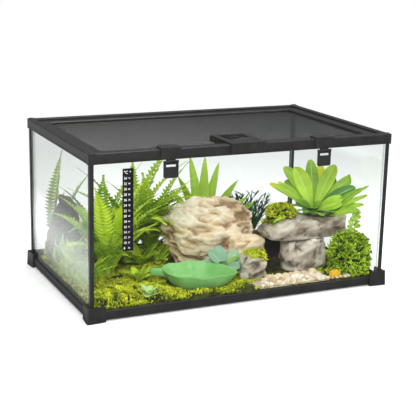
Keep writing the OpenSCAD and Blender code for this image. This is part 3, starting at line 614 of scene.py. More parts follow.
def make_ground():
    nx, ny = 150, 90
    points = []
    for j in range(ny + 1):
        for i in range(nx + 1):
            x, y = -SOIL_X + 2 * SOIL_X * i / nx, -SOIL_Y + 2 * SOIL_Y * j / ny
            lump = drift(x, y, 0.06, 0) + 0.5 * drift(x, y, 0.2, 3)
            points.append((x, y, ground_height(x, y) + (0.0 if bare(x, y) else max(0.0, 1.6 * lump))))
    faces = grid_faces(ny + 1, nx + 1)
    rim = [j * (nx + 1) + i for i, j in (
        [(i, 0) for i in range(nx)] + [(nx, j) for j in range(ny)]
        + [(i, ny) for i in range(nx, 0, -1)] + [(0, j) for j in range(ny, 0, -1)])]
    n, edge = len(points), len(rim)
    points += [(points[k][0], points[k][1], SOIL_FOOT) for k in rim]
    faces += [(rim[(k + 1) % edge], rim[k], n + k, n + (k + 1) % edge) for k in range(edge)]
    faces.append(tuple(n + k for k in range(edge - 1, -1, -1)))
    top = Mesh()
    top.add(points, faces)
    m = Look("soil", rough=0.95, Specular_IOR_Level=0.2)
    m.mottle(70, 8, [
        (0.32, (0.012, 0.012, 0.006)), (0.5, (0.04, 0.045, 0.012)), (0.7, (0.13, 0.16, 0.02))], 0.65)
    m.bump(m.noise(500, 6), 0.8, 0.002)
    top.piece("soil_ground", m, "moss", ["soil_bed", "moss_banks"])


def make_moss():
    """Shoots all over the ground, thick in front and on the left, thin at the back right."""
    rng = random.Random(11)
    moss = Mesh()
    made = 0
    while made < MOSS_SHOOTS:
        x, y = rng.uniform(-SOIL_X + 3, SOIL_X - 3), rng.uniform(-SOIL_Y + 3, SOIL_Y - 3)
        patch = noise(Vector((x * 0.035, y * 0.045, 9)))
        thick = 1.0 if x < 20 else 0.35
        if bare(x, y) or rng.random() > thick * (0.75 + 1.2 * patch):
            continue
        lump = drift(x, y, 0.09, 5)
        size = rng.uniform(3.2, 5.6) * (1 + 0.3 * lump)
        add_tuft(moss, (x, y, ground_height(x, y)), (rng.uniform(-0.35, 0.35), rng.uniform(-0.35, 0.35), 1),
                 size, rng, 0.56 + 0.5 * lump + rng.uniform(-0.25, 0.25))
        made += 1
    moss.piece("ground_moss", MOSS, "moss",
               clamp=((-SOIL_X - 1, -SOIL_Y - 1, SOIL_FOOT), (SOIL_X + 1, SOIL_Y + 1, 60)))


# ---- dish

# Rings of the leaf-shaped bowl: share of its size, height and wave, up the outside and down the inside
BOWL = 1 - 2 * DISH_WALL / DISH_WIDE
RINGS = [
    (0.3, 0.0, 0), (0.66, 0.0, 0), (0.72, 1.2, 0), (0.79, 5.2, 0.1), (0.86, 11.2, 0.3), (0.93, 18, 0.7),
    (0.985, 23.6, 1.1), (1.0, 24.6, 1.2), (0.993, 25.4, 1.2), (BOWL + 0.012, 25.4, 1.2),
    (BOWL, 24.4, 1.2), (0.9 * BOWL + 0.04, 18.5, 0.7), (0.86 * BOWL, 12.6, 0.3), (0.78, 7.2, 0.1),
    (0.68, 4.4, 0), (0.6, 3.2, 0), (0.3, 3.0, 0)]
# The stem's sections: place along the dish, half width, foot and top; and their eight corners as shares
STEM = [(-1, 5.2, 15, 22.0), (1, 6.6, 13.2, 23.6), (14, 6.4, 12.6, 23.8), (27, 8.0, 11, 22.6)]
CORNERS = [(-1, 0.15), (-0.85, 0), (0.85, 0), (1, 0.15), (1, 0.85), (0.85, 1), (-0.85, 1), (-1, 0.85)]


def dish_half(t):
    return max(0.0, sin(pi * t ** 0.82)) ** 0.62 * (1 + 0.035 * cos(radians(1260 * t)))


def dish_ring(k, z, wave, n):
    body = DISH_LONG - DISH_STEM
    ring = []
    for i in range(2 * n):
        side = 1 if i < n else -1
        t = i / n if i < n else (2 * n - i) / n
        ring.append((DISH_STEM + body * (0.46 + (t - 0.46) * k), side * k * DISH_WIDE / 2 * dish_half(t),
                     z + wave * cos(radians(900 * t))))
    return ring


def make_dish():
    def placed(points):
        return [(*turned(x, y, DISH_TURN, DISH_AT), SEAT + z) for x, y, z in points]

    n = 60
    mesh = Mesh()
    points = [p for k, z, w in RINGS for p in dish_ring(k, z, w, n)]
    faces = grid_faces(len(RINGS), 2 * n, True)
    faces.append(tuple(range(2 * n - 1, -1, -1)))
    faces.append(tuple(range((len(RINGS) - 1) * 2 * n, len(RINGS) * 2 * n)))
    maps = [((x - DISH_STEM) / (DISH_LONG - DISH_STEM), 0.5 + y / DISH_WIDE) for x, y, z in points]
    mesh.add(placed(points), faces, maps)
    stem = [(x, dy * w, z0 + dz * (z1 - z0)) for x, w, z0, z1 in STEM for dy, dz in CORNERS]
    mesh.add(placed(stem), grid_faces(4, 8, True) + [tuple(range(7, -1, -1)), tuple(range(24, 32))])
    m = Look("green_dish", rough=0.45, Specular_IOR_Level=0.4)
    m.mottle(24, 4, [(0.3, (0.21, 0.49, 0.15)), (0.7, (0.28, 0.59, 0.19))])
    m.wear(200, 3, 0.4, 0.52)
    along, across = m.leaf_map()
    wave = m.math("SINE", m.times(m.math("SUBTRACT", along, m.times(across, 0.8)), 44))
    m.bump(m.plus(m.grey(across, 0.03, 0.0), m.times(m.grey(wave, 0.86, 1.0), 0.5)), 0.35, 0.0008)
    mesh.piece("leaf_dish", m, "green_dish", ["water_dish"])


# ---- stones of the habitat

YELLOW_AT = (178, -134)


def make_stones():
    sand = stone_material("sandstone", [
        (0.25, (0.52, 0.33, 0.17)), (0.42, (0.8, 0.6, 0.36)), (0.58, (0.93, 0.79, 0.57)),
        (0.76, (0.98, 0.91, 0.76))], 26, 0.3, (0.3, 0.16, 0.07), 0.6, 0.9, 0.12)
    grey = stone_material("grey_rock", [
        (0.28, (0.13, 0.09, 0.06)), (0.42, (0.3, 0.235, 0.17)), (0.58, (0.53, 0.46, 0.375)),
        (0.76, (0.78, 0.72, 0.62))], 22, 0.5, (0.05, 0.033, 0.022), 0.2, 0.85, 0.3, 0.9)
    # painted light: a lighter copy of the grey rock, for the cave stone and the small stone under and before
    # the slab
    pale = stone_material("lit_grey_rock_copy", [
        (0.28, (0.22, 0.165, 0.115)), (0.42, (0.47, 0.385, 0.295)), (0.58, (0.72, 0.645, 0.54)),
        (0.76, (0.93, 0.88, 0.78))], 22, 0.5, (0.07, 0.048, 0.034), 0.2, 0.85, 0.3, 0.9)
    brown = stone_material("boulder_rock", [
        (0.3, (0.016, 0.013, 0.011)), (0.5, (0.05, 0.037, 0.03)), (0.72, (0.12, 0.085, 0.068))],
        24, 0.7, (0.01, 0.007, 0.006), 0.2, 0.9, 0.45, 0.5)
    yellow = stone_material("yellow_stone", [
        (0.3, (0.72, 0.36, 0.01)), (0.5, (0.86, 0.52, 0.015)), (0.75, (0.93, 0.66, 0.05))],
        60, 0.15, (0.4, 0.16, 0.01), 0, 0.6, 0.2)
    return {name: stone_piece(name, look, slot, nodes, *form) for name, look, slot, nodes, *form in (
        ("sandstone", sand, "sandstone", ["sandstone_rock"],
         (28, 34, SEAT), (88, 40, 112 * 0.56), 112 * 0.42, 112, 1, 0.13, 0.95, sandstone_relief, 190, 96, 10),
        ("slab", grey, "grey_rock", ["slab_rock"],
         (168, -47, 68), (86, 34, 33 * 1.05), 33 * 0.2, 33, 2, 0.1, 0.8, rock_relief, 170, 70, 8),
        ("cave_stone", pale, "grey_rock", ["cave_rock"],
         (156, -62, SEAT), (38, 28, 48), 22, 54, 5, 0.1, 0.7, rock_relief, 110, 56, 6),
        ("prop_stone", sand, "sandstone", ["prop_rock"],
         (66, -32, SEAT), (35, 18, 42), 24, 54, 3, 0.1, 0.8, rock_relief, 100, 56, 6),
        ("small_stone", pale, "grey_rock", ["moss_stone"],
         (49, -88, SEAT), (23, 16, 30), 18, 46, 9, 0.12, 0.85, rock_relief, 80, 44, 5),
        ("boulder", brown, "grey_rock", ["grey_boulder"],
         (-214, 92, SEAT), (28, 46, 74), 58, 130, 7, 0.1, 1, crag_relief, 150, 90, 8),
        # painted shade: a dark stone in the boulder's colour at the back of the cave, standing for the deep
        # shade there
        ("cave_shade_back", brown, "grey_rock", (),
         (120, -5, SEAT), (32, 12, 46), 20, 54, 8, 0.08, 0.7, rock_relief, 60, 40, 6),
        ("yellow_pebble", yellow, "yellow_stone", ["yellow_stone"],
         (*YELLOW_AT, SEAT), (11, 7, 9), 5, 14, 4, 0.08, 0.9, smooth_relief, 48, 26, 2, 12))}


def make_pebbles():
    """A row of large tan pebbles along the back, then others, and small ones once the room runs out."""
    most, row_tries, large_tries, most_tries = 190, 160, 2500, 14000
    rng = random.Random(5)
    draw = rng.uniform
    bed = Mesh()
    placed = []
    tries = 0
    lon, lat = 12, 8
    while len(placed) < most and tries < most_tries:
        tries += 1
        x, y = draw(37, 206), draw(-143.5, -104)
        r = draw(5.0, 7.2) * (0.72 if y < -128 else 1.0) if tries < large_tries else draw(2.4, 4.2)
        left, right = 34 + 0.5 * (y + 145), 163 if y > -126 else 206
        if y - r < -146.5 or y + r > -101 or x - r < left or x + r > right:
            continue
        back = tries < row_tries
        if back:
            x, y, r = draw(54, 156), draw(-112, -107), draw(6.4, 7.8)
        # at the right only small ones, along the front and clear of the yellow stone
        if x > 160 and (r > 3.4 or y > -128 and x > 164 or abs(x - YELLOW_AT[0]) < 14 + r and y > -144 + r):
            continue
        if any((x - px) ** 2 + (y - py) ** 2 < (0.74 * (r + pr)) ** 2 for px, py, pr in placed):
            continue
        placed.append((x, y, r))
        squash = (draw(1.0, 1.35), draw(0.85, 1.1), draw(0.68, 0.85))
        turn = draw(0, 3.14)
        points = []
        for j in range(lat + 1):
            for i in range(lon):
                d = Vector(direction(2 * pi * i / lon, pi * (j / lat - 0.5)))
                k = r * (1 + 0.1 * noise(d * 1.3 + Vector((x, y, 0))))
                points.append((*turned(d.x * k * squash[0], d.y * k * squash[1], turn, (x, y)),
                               max(SEAT + 0.2, SEAT + 1.0 + r * 0.5 + d.z * k * squash[2])))
        bed.add(points, grid_faces(lat + 1, lon, True), None, draw(0.12, 0.32) if back else rng.random())
    m = Look("pebbles", rough=0.5, Specular_IOR_Level=0.4)
    tone = m.ramp(m.attribute("shade"), [
        (0.0, (0.5, 0.32, 0.17)), (0.25, (0.82, 0.66, 0.44)), (0.55, (0.9, 0.84, 0.7)),
        (0.85, (0.93, 0.9, 0.84)), (1.0, (0.66, 0.5, 0.36))])
    m.colour(m.mix(m.grey(m.noise(260, 6, 0.65), 0.45, 0.8, 0.0, 0.5), tone, (0.62, 0.42, 0.24), "MULTIPLY"))
    m.wear(300, 4, 0.4, 0.65)
    m.bump(m.noise(700, 4), 0.25, 0.0004)
    bed.piece("pebble_bed", m, "pebbles", ["river_pebbles"])


def make_sand():
    """Loose sand between the pebbles, heaped up a little off its edges."""
    def heap(t):
        return max(0.0, 1 - abs(2 * t - 1) ** 6)

    sand = Mesh()
    nx, ny = 60, 22
    points = [(34 + 128 * i / nx, -145 + 40 * j / ny,
               SEAT + 0.4 + 1.6 * heap(i / nx) * heap(j / ny) + 0.5 * drift(i, j, 0.7, 2))
              for j in range(ny + 1) for i in range(nx + 1)]
    sand.add(points, grid_faces(ny + 1, nx + 1))
    m = Look("sand", rough=0.9)
    m.mottle(700, 5, [(0.3, (0.3, 0.2, 0.12)), (0.5, (0.66, 0.54, 0.4)), (0.75, (0.85, 0.78, 0.66))], 0.7)
    m.bump(m.noise(900, 3), 0.9, 0.001)
    sand.piece("sand_bed", m, "pebbles")


# ---- plants


def scatter_on(mesh, surface, rng, count, size, test, shade=0.5, blades=4, wide=0.17, patch=0.3):
    """Moss shoots on the points of a stone's surface that pass the test."""
    points, normals = surface
    keep = [i for i in range(len(points)) if test(points[i], normals[i])]
    for _ in range(count):
        i = rng.choice(keep)
        p = points[i] + np.array([rng.uniform(-1.2, 1.2), rng.uniform(-1.2, 1.2), 0])
        up = normals[i] + np.array([0, 0, 0.3])
        add_tuft(mesh, p, up, rng.uniform(0.75, 1.25) * size, rng,
                 shade + patch * noise(Vector(points[i]) * 0.08) + rng.uniform(-0.3, 0.3), blades, wide)


def make_cushions(surfaces):
    """The dense bush, the mound on the slab and the moss on the stones."""
    rng = random.Random(23)
    # painted shade: a nearly black core that shows as the shade between the shoots
    core = Look("moss_core", rough=0.95)
    core.mottle(160, 5, [(0.35, (0.006, 0.012, 0.002)), (0.7, (0.03, 0.055, 0.006))])
    core.bump(core.noise(300, 4), 0.8, 0.003)
    for name, look, node, at, s, c, high, seed, rough, count, size in (
            ("bush", BUSH, "moss_bush", (216, -115, SEAT), (34, 32, 40), 29, 68, 6, 0.05, 1500, 8.2),
            ("mound", MOSS, "moss_mound", (120, -46, SLAB_TOP), (28, 18, 25), 0, 25, 8, 0.06, 620, 5.6)):
        surface = stone_piece(
            name + "_core", core, "moss", [node], at, tuple(0.86 * v for v in s), c, high - 4, seed,
            rough, 0.85, cushion_relief, 72, 40, 8)
        shoots = Mesh()
        scatter_on(shoots, surface, rng, count, size, lambda p, n: p[2] > at[2] + 0.5, 0.42, 3, 0.15, 0.1)
        low = [at[0] - 1.1 * s[0], max(-147.2, at[1] - 1.1 * s[1]), at[2]]
        top = [min(246.5, at[0] + 1.1 * s[0]), at[1] + 1.1 * s[1], at[2] + high + 1]
        shoots.piece(name, look, "moss", clamp=(low, top))
    small = Mesh()
    scatter_on(small, surfaces["small_stone"], rng, 700, 5.0,
               lambda p, n: p[2] > 50 + 5 * drift(p[0], p[1], 0.1, 0) - 0.25 * (p[0] - 49))
    scatter_on(small, surfaces["slab"], rng, 500, 4.0,
               lambda p, n: n[2] > 0.35 and p[0] < 124 + 14 * drift(p[0], p[1], 0.07, 2)
               and p[2] > 90 and p[1] > -60, 0.4)
    small.piece("rock_moss", MOSS, "moss", clamp=((22, -110, SEAT), (160, 0, 123)))
    boulder = Mesh()
    scatter_on(boulder, surfaces["boulder"], rng, 2600, 5.0,
               lambda p, n: p[2] < 44 + 60 * noise(Vector(p) * 0.03), 0.2)
    boulder.piece("boulder_moss", MOSS, "moss", clamp=((-246, 40, SEAT), (-180, 147, 140)))


def facing_roll(heading, lift, droop, share=0.8, most=62):
    """Roll that turns a leaf's face part of the way to the front left, where light and viewer are."""
    h, a = radians(heading), radians(lift - droop / 2)
    front = Vector((-0.42, -0.88, 0.25))
    side = Vector((-sin(h), cos(h), 0)).dot(front)
    face = Vector((-sin(a) * cos(h), -sin(a) * sin(h), cos(a))).dot(front)
    roll = -degrees(atan(side / (face if abs(face) > 0.05 else 0.05)))
    return max(-most, min(most, share * roll))


def lean(right, away, droop):
    """Heading and lift of a leaf that leans right degrees, seen from the front left, and away by a share.

    It leaves steeper by half its droop, so that its middle has that lean.
    """
    a = radians(right)
    v = Vector((0.905, -0.425, 0)) * sin(a) + Vector((0, 0, 1)) * cos(a) + Vector((0.425, 0.905, 0)) * away
    v.normalize()
    return degrees(atan2(v.y, v.x)), degrees(asin(v.z)) + droop / 2


# Leaves of the rosette: lean to the right, lean away, length, width, shade and droop; the shade is painted
# light and shade on each leaf
ROSETTE_LEAVES = [
    (-33, 0.42, 90, 23, 0.55, 22), (-23, -0.02, 82, 29, 0.95, 20), (-2, 0.32, 88, 22, 0.45, 12),
    (22, 0.14, 86, 25, 0.85, 16), (50, 0.22, 96, 19, 0.7, 20), (57, 0.04, 80, 20, -0.15, 22),
    (58, -0.30, 56, 18, 0.9, 24), (-55, 0.14, 76, 19, 0.75, 26), (66, -0.42, 52, 17, 0.75, 26),
    (20, -0.75, 32, 14, 0.7, 26), (-50, -0.6, 40, 16, 0.25, 30), (10, 0.7, 70, 20, 0.2, 16),
    (40, 0.6, 74, 19, 0.1, 20), (-46, 0.66, 74, 20, 0.25, 22), (76, 0.45, 60, 17, 0.1, 26)]
# Short leaves round its foot: heading, length, lift and shade, set low as painted shade under the rosette
ROSETTE_FOOT = [(-140, 44, 26, 0.0), (-98, 40, 20, 0.25), (-60, 42, 24, 0.1), (-15, 46, 30, 0.0),
                (40, 40, 30, -0.1), (100, 38, 30, 0.0), (165, 44, 32, 0.15), (-118, 30, 42, 0.3)]
# Narrow leaves at its right: heading, length, lift, droop and width
ROSETTE_STRAPS = [(-58, 96, 52, 22, 11), (-52, 88, 44, 24, 10), (-68, 84, 58, 28, 10),
                  (-46, 70, 36, 26, 13), (-64, 64, 28, 20, 15), (-30, 46, 44, 30, 12)]


def make_rosette():
    """Broad paddle leaves in a rosette, and long narrow ones that lean out to its right."""
    draw = random.Random(2).uniform
    plant = Mesh()
    base = (183, -47, SLAB_TOP)
    room = ((118, -142, SLAB_TOP - 12), (246, 12, 192))
    for right, away, length, width, shade, droop in ROSETTE_LEAVES:
        heading, lift = lean(right, away, droop)
        start = (*turned(3, 0, radians(heading), base), base[2] + 4)
        roll = facing_roll(heading, lift, droop, 0.75, 66) + draw(-10, 10)
        add_leaf(plant, start, heading, length, width, lift, droop, 0.1, 0.14, roll, 16, 8, shade,
                 draw(-5, 5), middle=0.66)
    for heading, length, lift, shade in ROSETTE_FOOT:
        add_leaf(plant, (base[0], base[1], base[2] + 2), heading, length, 21, lift, 28, 0.08, 0.16,
                 draw(-14, 14), 12, 6, shade, middle=0.6)
    add_stalk(plant, base, (base[0], base[1], base[2] + 9), 7, 5, 12, 0.0)
    for heading, length, lift, droop, wide in ROSETTE_STRAPS:
        add_leaf(plant, (208, -58, SLAB_TOP - 3), heading, length, wide, lift, droop, 0.2, 0,
                 facing_roll(heading, lift, droop, 0.6), 12, 4, draw(0.2, 0.9), draw(-3, 3), 0.9)
    plant.piece("rosette", ROSETTE, "bright_leaves", ["rosette_plant"], thick=1.0, clamp=room)
    accent = Mesh()
    for right, away, length, wide, droop in (
            (-60, 0.12, 86, 13, 22), (-52, 0.1, 76, 10, 16), (12, 0.42, 80, 24, 10), (46, 0.4, 58, 10, 20)):
        heading, lift = lean(right, away, droop)
        add_leaf(accent, (base[0], base[1] + 4, base[2] + 5), heading, length, wide, lift, droop, 0.1, 0.1,
                 facing_roll(heading, lift, droop), 12, 6, draw(0.6, 1.0), middle=0.66)
    accent.piece("rosette_yellow_leaves", YELLOW, "bright_leaves", thick=0.8, clamp=room)
    # one long leaf along the foot of the moss mound
    streak = Mesh()
    add_leaf(streak, (96, -66, SLAB_TOP - 3), 12, 72, 7, 22, 26, 0.3, 0, 50, 12, 2, 0.8, 6)
    streak.piece("mound_leaf", ROSETTE, "bright_leaves", thick=0.6)


# Ferns: place, length, turn and number of fronds; the first fronds of each have set headings
FERNS = [(-146, 98, 172, 0, 20), (-92, 104, 200, 6, 44), (-56, 104, 166, -4, 38), (-168, 8, 172, -8, 20)]
HEADINGS = [4, 176, -62, 246, -14]
# Two tall fronds behind the boulder and two low ones along the left glass
FRONDS = [((-226, 128, 60), -50, 146, 46, 86, 10), ((-206, 128, 60), -20, 120, 40, 80, 30),
          ((-222, 30, 16), -120, 74, 30, 80, 30), ((-226, -6, 20), 150, 62, 28, 76, 34)]


def make_ferns():
    rng = random.Random(31)
    draw = rng.uniform
    plant = Mesh()
    for fx, fy, length, turn, count in FERNS:
        add_stalk(plant, (fx, fy, SEAT), (fx, fy, SEAT + 11), 5, 4, 8, 0.1)
        for i in range(count):
            first = i < len(HEADINGS)
            heading = HEADINGS[i] if first else -160 + 320 * ((i * 0.382) % 1)
            share = (i % 3) / 2 if first else draw(0.2, 1)
            size = length * (1 - 0.16 * share) * (1 if first else draw(0.5, 0.95))
            h = radians(turn + heading)
            lift = 86 - 6 * share - (0 if first else 6)
            droop = 40 + 16 * share + (0 if first else draw(0, 46))
            # shorter where the back glass is near
            room = 145 - fy - 8 if sin(h) > 0 else 1e3
            reach = size * 0.48 * max(0.05, sin(h))
            size *= min(1.0, room / reach)
            foot = (*turned(3.4, 0, h, (fx, fy)), SEAT + 8)
            add_fern_frond(plant, foot, turn + heading + draw(-5, 5), size, draw(34, 48), lift, droop, rng,
                           25, 0.3 + 0.65 * rng.random(), draw(-8, 8))
    for place, heading, size, width, lift, droop in FRONDS:
        add_fern_frond(plant, place, heading, size, width, lift, droop, rng, 25, 0.6)
    # undergrowth along the left glass and along the back
    left, back = 62, 34
    for i in range(left + back):
        if i < left:
            x, y, size = -238 + draw(0, 26), draw(-60, 64), draw(36, 66)
            size += 22 * max(0.0, y / 64)
        else:
            x, y, size = draw(-176, -28), draw(112, 140), draw(44, 72)
        add_fern_frond(plant, (x, y, SEAT + 4), draw(-180, 0), size, 20, draw(56, 84), draw(20, 60), rng, 10,
                       draw(0.1, 0.8))
    # strap leaves of the young fern on the left
    for i in range(11):
        add_leaf(plant, (-158, 14, SEAT), i * GOLDEN, draw(80, 150), draw(15, 19), draw(66, 86), draw(20, 40),
                 0.2, 0.1, draw(-20, 20), 14, 4, draw(0.6, 1.0), draw(-6, 6), 1.1)
    plant.piece("ferns", FERN, "bright_leaves", ["fern_plants"], smooth=False,
                clamp=((-246, -110, SEAT), (246, 148, 206)))


def make_blades():
    rng = random.Random(12)
    plant = Mesh()
    x, y = 42, 96
    add_stalk(plant, (x, y, SEAT), (x, y, SEAT + 12), 6, 5, 10, 0.1)
    for length, heading, lift, droop in (
            (160, 100, 78, 8), (150, 20, 80, 10), (158, 60, 84, 6), (132, -10, 70, 18), (138, 180, 76, 14),
            (118, -13, 56, 20), (122, -20, 48, 16), (112, 140, 66, 16), (112, -6, 44, 18), (90, 165, 60, 20)):
        add_leaf(plant, (x, y, SEAT + 8), heading, length, 21, lift, droop, 0.3, 0,
                 facing_roll(heading, lift, droop, 0.5), 12, 2, 0.4 + 0.6 * rng.random(), blunt=0.8)
    plant.piece("blades", BLADE, "bright_leaves", ["broad_blade_plant"], thick=0.7,
                clamp=((-20, 60, SEAT), (140, 148, 190)))


def make_grass():
    """Long thin leaves, and short ones that branch off them."""
    rng = random.Random(19)
    draw = rng.uniform
    plant = Mesh()
    x, y = 135, 101
    blades, twigs = 60, 260
    for i in range(blades):
        add_leaf(plant, (x + draw(-5, 5), y + draw(-5, 5), SEAT), i * GOLDEN, draw(60, 104), 4.2,
                 draw(60, 86), draw(18, 46), 0.3, 0, 0, 7, 2, rng.random(), draw(-6, 6), 0.9)
    for i in range(twigs):
        up = draw(0.4, 0.95)
        start = (*turned(36 * up, 0, radians(i * GOLDEN), (x, y)), SEAT + 88 * up)
        add_leaf(plant, start, i * GOLDEN + draw(-70, 70), draw(12, 20), 3.2, draw(20, 70), 20, 0.2, 0, 0,
                 4, 2, rng.random())
    plant.piece("dark_grass", GRASS, "dark_leaves", ["dark_grass_plant"],
                clamp=((80, 56, SEAT), (190, 147, 124)))


def make_succulent():
    """Oval blue-green leaves in a fan, a bright young one in the middle, and a small plant at the front."""
    rng = random.Random(4)
    draw = rng.uniform
    plant, young = Mesh(), Mesh()
    x, y, droop = 13, -60, 24
    add_stalk(plant, (x, y, SEAT), (x, y, SEAT + 14), 5, 4, 10, 0.2)
    for right, away, length, width, mesh in (
            (-44, -0.1, 42, 21, plant), (-24, 0.25, 40, 19, plant), (64, -0.1, 44, 21, plant),
            (-80, -0.15, 45, 19, plant), (84, 0.1, 38, 18, plant), (36, 0.5, 36, 18, plant),
            (-66, 0.6, 36, 18, plant), (70, -0.7, 30, 16, plant), (-20, -0.9, 26, 14, plant),
            (42, -0.25, 32, 15, young)):
        heading, lift = lean(right, away, droop)
        add_leaf(mesh, (x, y, SEAT + 12), heading, length, width, lift, droop, 0.1, 0.12,
                 facing_roll(heading, lift, droop, 0.7, 60), 12, 6, 0.35 + 0.5 * rng.random(), middle=0.6)
    plant.piece("succulent", PALE, "pale_leaves", ["pale_succulent"], thick=1.2)
    for i in range(9):
        add_leaf(young, (-150 + draw(-4, 4), -131 + draw(-3, 3), SEAT + 8), i * GOLDEN, draw(17, 24), 11,
                 draw(20, 60), droop, 0.1, 0.12, 0, 8, 4, draw(0.7, 1.0), middle=0.62)
    young.piece("young_leaves", YOUNG, "pale_leaves", thick=0.7, clamp=((-246, -146.5, SEAT), (60, 0, 90)))


def make_sprig():
    """A bent stem with small leaves; z is the height above the seat, and step one part of the stem."""
    draw = random.Random(6).uniform
    step = 18

    def stem(z):
        return 241, -82 - 0.5 * (z / step) ** 2, SEAT + z

    plant = Mesh()
    for k in range(5):
        add_stalk(plant, stem(step * k), stem(step * (k + 1)), 1.5, 1.3, 8, 0.4)
    for i in range(11):
        heading, lift = (-72, 158, -100, 175)[i % 4] + draw(-8, 8), 34 + 2.6 * i
        add_leaf(plant, stem(50 + 4.0 * i), heading, 18 - 0.6 * i, 8.5, lift, 20, 0.1, 0.1,
                 facing_roll(heading, lift, 20, 0.8, 75), 7, 4, draw(0.4, 1.0), middle=0.6)
    plant.piece("sprig", SPRIG, "bright_leaves", ["sprig_plant"], thick=0.4,
                clamp=((216, -130, SEAT), (246.5, -60, 118)))


def make_sprouts():
    """Small bright leaves in the moss."""
    draw = random.Random(14).uniform
    plant = Mesh()
    for x, y, z, size, count in ((-132, -40, SEAT, 34, 9), (-100, 40, SEAT, 50, 14), (-66, 44, SEAT, 40, 10),
                                 (-222, -120, 22, 16, 7), (206, 60, 20, 34, 8)):
        for i in range(count):
            add_leaf(plant, (x + draw(-3, 3), y + draw(-3, 3), z), i * GOLDEN, size * draw(0.75, 1.1),
                     size * 0.36, draw(30, 74), draw(14, 44), 0.2, 0.1, draw(-14, 14), 7, 2, draw(0.4, 1.0),
                     blunt=1.2)
    plant.piece("sprouts", FERN, "bright_leaves", thick=0.4, clamp=((-245, -146, SEAT), (245, 146, 90)))


# ---- lid and strip details

PITCH, WIRE = 2.0, 0.192


def add_wire(mesh, points, radius, sides):
    points = np.asarray(points, float)
    ahead = np.gradient(points, axis=0)
    ahead /= np.linalg.norm(ahead, axis=1, keepdims=True)
    side = np.cross(ahead, [0, 0, 1.0])
    side /= np.linalg.norm(side, axis=1, keepdims=True)
    up = np.cross(side, ahead)
    n = len(points)
    rings = np.empty((n, sides, 3))
    for k in range(sides):
        a = 2 * pi * k / sides + pi / 2
        rings[:, k] = points + radius * (cos(a) * side + sin(a) * up)
    ends = [tuple(range(sides)), tuple(range(n * sides - 1, (n - 1) * sides - 1, -1))]
    mesh.add(rings.reshape(-1, 3), grid_faces(n, sides, True) + ends)


def make_weave(name, low, high, z, gap, look, body, nodes=()):
    """Plain wire cloth: straight wires along X, waved ones along Y, and an opening gap (x0, x1, y0, y1)."""
    mesh = Mesh()
    xs = np.arange(low[0] + PITCH / 2, high[0], PITCH)
    ys = np.arange(low[1] + PITCH / 2, high[1], PITCH)
    for y in ys:
        runs = [(low[0], high[0])]
        if gap and gap[2] < y < gap[3]:
            runs = [(low[0], gap[0]), (gap[1], high[0])]
        for x0, x1 in runs:
            add_wire(mesh, [(x0, y, z), (x1, y, z)], WIRE, 5)
    for i, x in enumerate(xs):
        line = [(x, y, z + (2 * WIRE if (i + j) % 2 else -2 * WIRE)) for j, y in enumerate(ys)
                if not (gap and gap[0] < x < gap[1] and gap[2] < y < gap[3])]
        add_wire(mesh, line, WIRE * 1.15, 3)
    mesh.piece(name, look, "wire_mesh", nodes, body, smooth=False)


def make_lid_wires():
    wire = Look("wire_mesh", (0.02, 0.02, 0.021), 0.45, Specular_IOR_Level=0.5)
    make_weave("woven_panel", (-229.2, -131.2), (229.2, 131.2), 246.3, (-29, 25, -140, -85.4), wire, "lid",
               ["lid_mesh"])
    make_weave("door_wires", (-24, -118), (20, -92.5), 254.4, None, wire, "feeding_door")


def make_numbers():
    """Plain figures of the temperature strip: a large left column and a small right one."""
    white = Look("white_print", rough=0.5)
    white.mottle(600, 3, [(0.2, (0.8, 0.8, 0.79)), (0.8, (0.92, 0.92, 0.91))])
    face, narrow = -155.44, 0.92
    words = [("°C", -201.9, 221.2, 6.4), ("°F", -193.6, 222.4, 3.9)]
    for k in range(14):
        celsius, z = 34 - 2 * k, 212.8 - 8.08 * k
        words += [(str(celsius), -201.7, z, 5.3), (str(round(celsius * 1.8 + 32)), -194.7, z + 0.5, 3.4)]
    verts, faces = [], []
    for text, x, z, size in words:
        curve = bpy.data.curves.new("figure", "FONT")
        curve.body = text
        curve.size = size
        curve.extrude = 0.03
        curve.resolution_u = 3
        figure = new_object("figure", curve)
        bpy.context.view_layer.update()
        flat = bpy.data.meshes.new_from_object(figure.evaluated_get(bpy.context.evaluated_depsgraph_get()))
        n = len(verts)
        verts += [(x + v.co.x * narrow, face - v.co.z, z + v.co.y) for v in flat.vertices]
        faces += [tuple(n + i for i in p.vertices) for p in flat.polygons]
        bpy.data.objects.remove(figure)
    mesh = Mesh()
    mesh.add(verts, faces)
    mesh.piece("strip_figures", white, "thermometer", smooth=False)


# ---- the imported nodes' own looks


def dress_nodes():
    strip = Look("thermometer", rough=0.18, Specular_IOR_Level=0.5)
    strip.mottle(80, 3, [(0.3, (0.006, 0.006, 0.007)), (0.7, (0.014, 0.014, 0.015))])
    strip.wear(120, 3, 0.14, 0.26)
    looks = {"black_plastic": black_plastic(), "glass": clear_glass(), "silicone": silicone(),
             "steel_pin": steel(), "thermometer": strip}
    slots = {s["node"]: s["material_slot"] for s in frame["record"]["subparts"]}
    for name, obj in NODES.items():
        look = looks.get(slots[name])
        if look is None:
            continue
        obj.data.materials.clear()
        obj.data.materials.append(look.material)
        if slots[name] == "black_plastic":
            bevel = obj.modifiers.new("edges", "BEVEL")
            bevel.width = 0.00045
            bevel.segments = 2
            bevel.limit_method = "ANGLE"
            bevel.angle_limit = radians(40)


# ---- world and floor


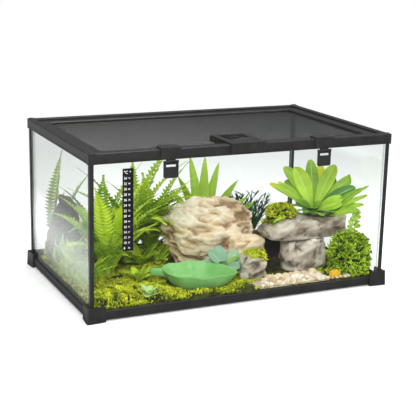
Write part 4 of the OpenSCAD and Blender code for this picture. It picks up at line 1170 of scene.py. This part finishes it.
def make_world():
    """White behind everything; what reflects is a pale wall on the left and a dim room in front and above."""
    world = bpy.data.worlds.new("studio")
    bpy.context.scene.world = world
    world.use_nodes = True
    m = Nodes(world.node_tree)
    background = m.tree.nodes["Background"]
    m.put(background.inputs["Color"], (1, 1, 1))
    path = m.add("ShaderNodeLightPath").outputs
    x = m.split(m.add("ShaderNodeTexCoord").outputs["Generated"])["X"]
    wall = m.grey(x, -0.45, -0.95, 0.22, 0.85)
    diffuse = m.grey(path["Is Diffuse Ray"], 0, 1, 0, 0.62)
    seen = m.math("MAXIMUM", path["Is Camera Ray"], path["Is Transmission Ray"])
    m.put(background.inputs["Strength"], m.math("MAXIMUM", m.math("MAXIMUM", wall, diffuse), seen))


def make_floor():
    far, under = 9, -0.0004
    mesh = bpy.data.meshes.new("floor")
    mesh.from_pydata([(x, y, under) for x, y in ((-far, -far), (far, -far), (far, far), (-far, far))], [],
                     [(0, 1, 2, 3)])
    floor = new_object("floor", mesh)
    m = Look("floor", (0.95, 0.95, 0.95), 0.9, Specular_IOR_Level=0.1)
    # a glowing strip on the floor beside the tank, seen only in mirrored rays: painted reflection in the foot
    # of its left pane
    x = m.split(m.place())["X"]
    strength = m.times(m.grey(x, -0.265, -0.325, 0.16, 1.6), m.grey(x, -0.345, -0.42, 1, 0.34))
    strip = m.add("ShaderNodeEmission", {"Strength": strength}).outputs[0]
    # away from the tank and its shadow the floor runs out into plain white
    reach = m.add("ShaderNodeVectorMath", {0: m.place()}, operation="LENGTH").outputs["Value"]
    seen = m.blend(m.grey(reach, 0.5, 1.1), m.body, m.add("ShaderNodeEmission").outputs[0])
    path = m.add("ShaderNodeLightPath").outputs
    mirrored = m.math("SUBTRACT", path["Is Glossy Ray"], path["Is Transmission Ray"])
    m.surface(m.blend(mirrored, seen, strip))
    mesh.materials.append(m.material)


place_camera()
make_world()
make_floor()
area_light("key", (-1.2, -2.2, 1.7), (0, 0, 0.1), 1.0, 62)
area_light("top", (0.3, 0.1, 2.2), (0, 0, 0.1), 1.4, 34)
area_light("side", (2.2, -0.9, 1.0), (0, 0, 0.12), 0.9, 24)
dress_nodes()
make_ground()
make_moss()
make_dish()
stone_surfaces = make_stones()
make_pebbles()
make_sand()
make_cushions(stone_surfaces)
make_rosette()
make_ferns()
make_blades()
make_grass()
make_succulent()
make_sprig()
make_sprouts()
make_lid_wires()
make_numbers()

bpy.context.scene.view_settings.view_transform = "Standard"
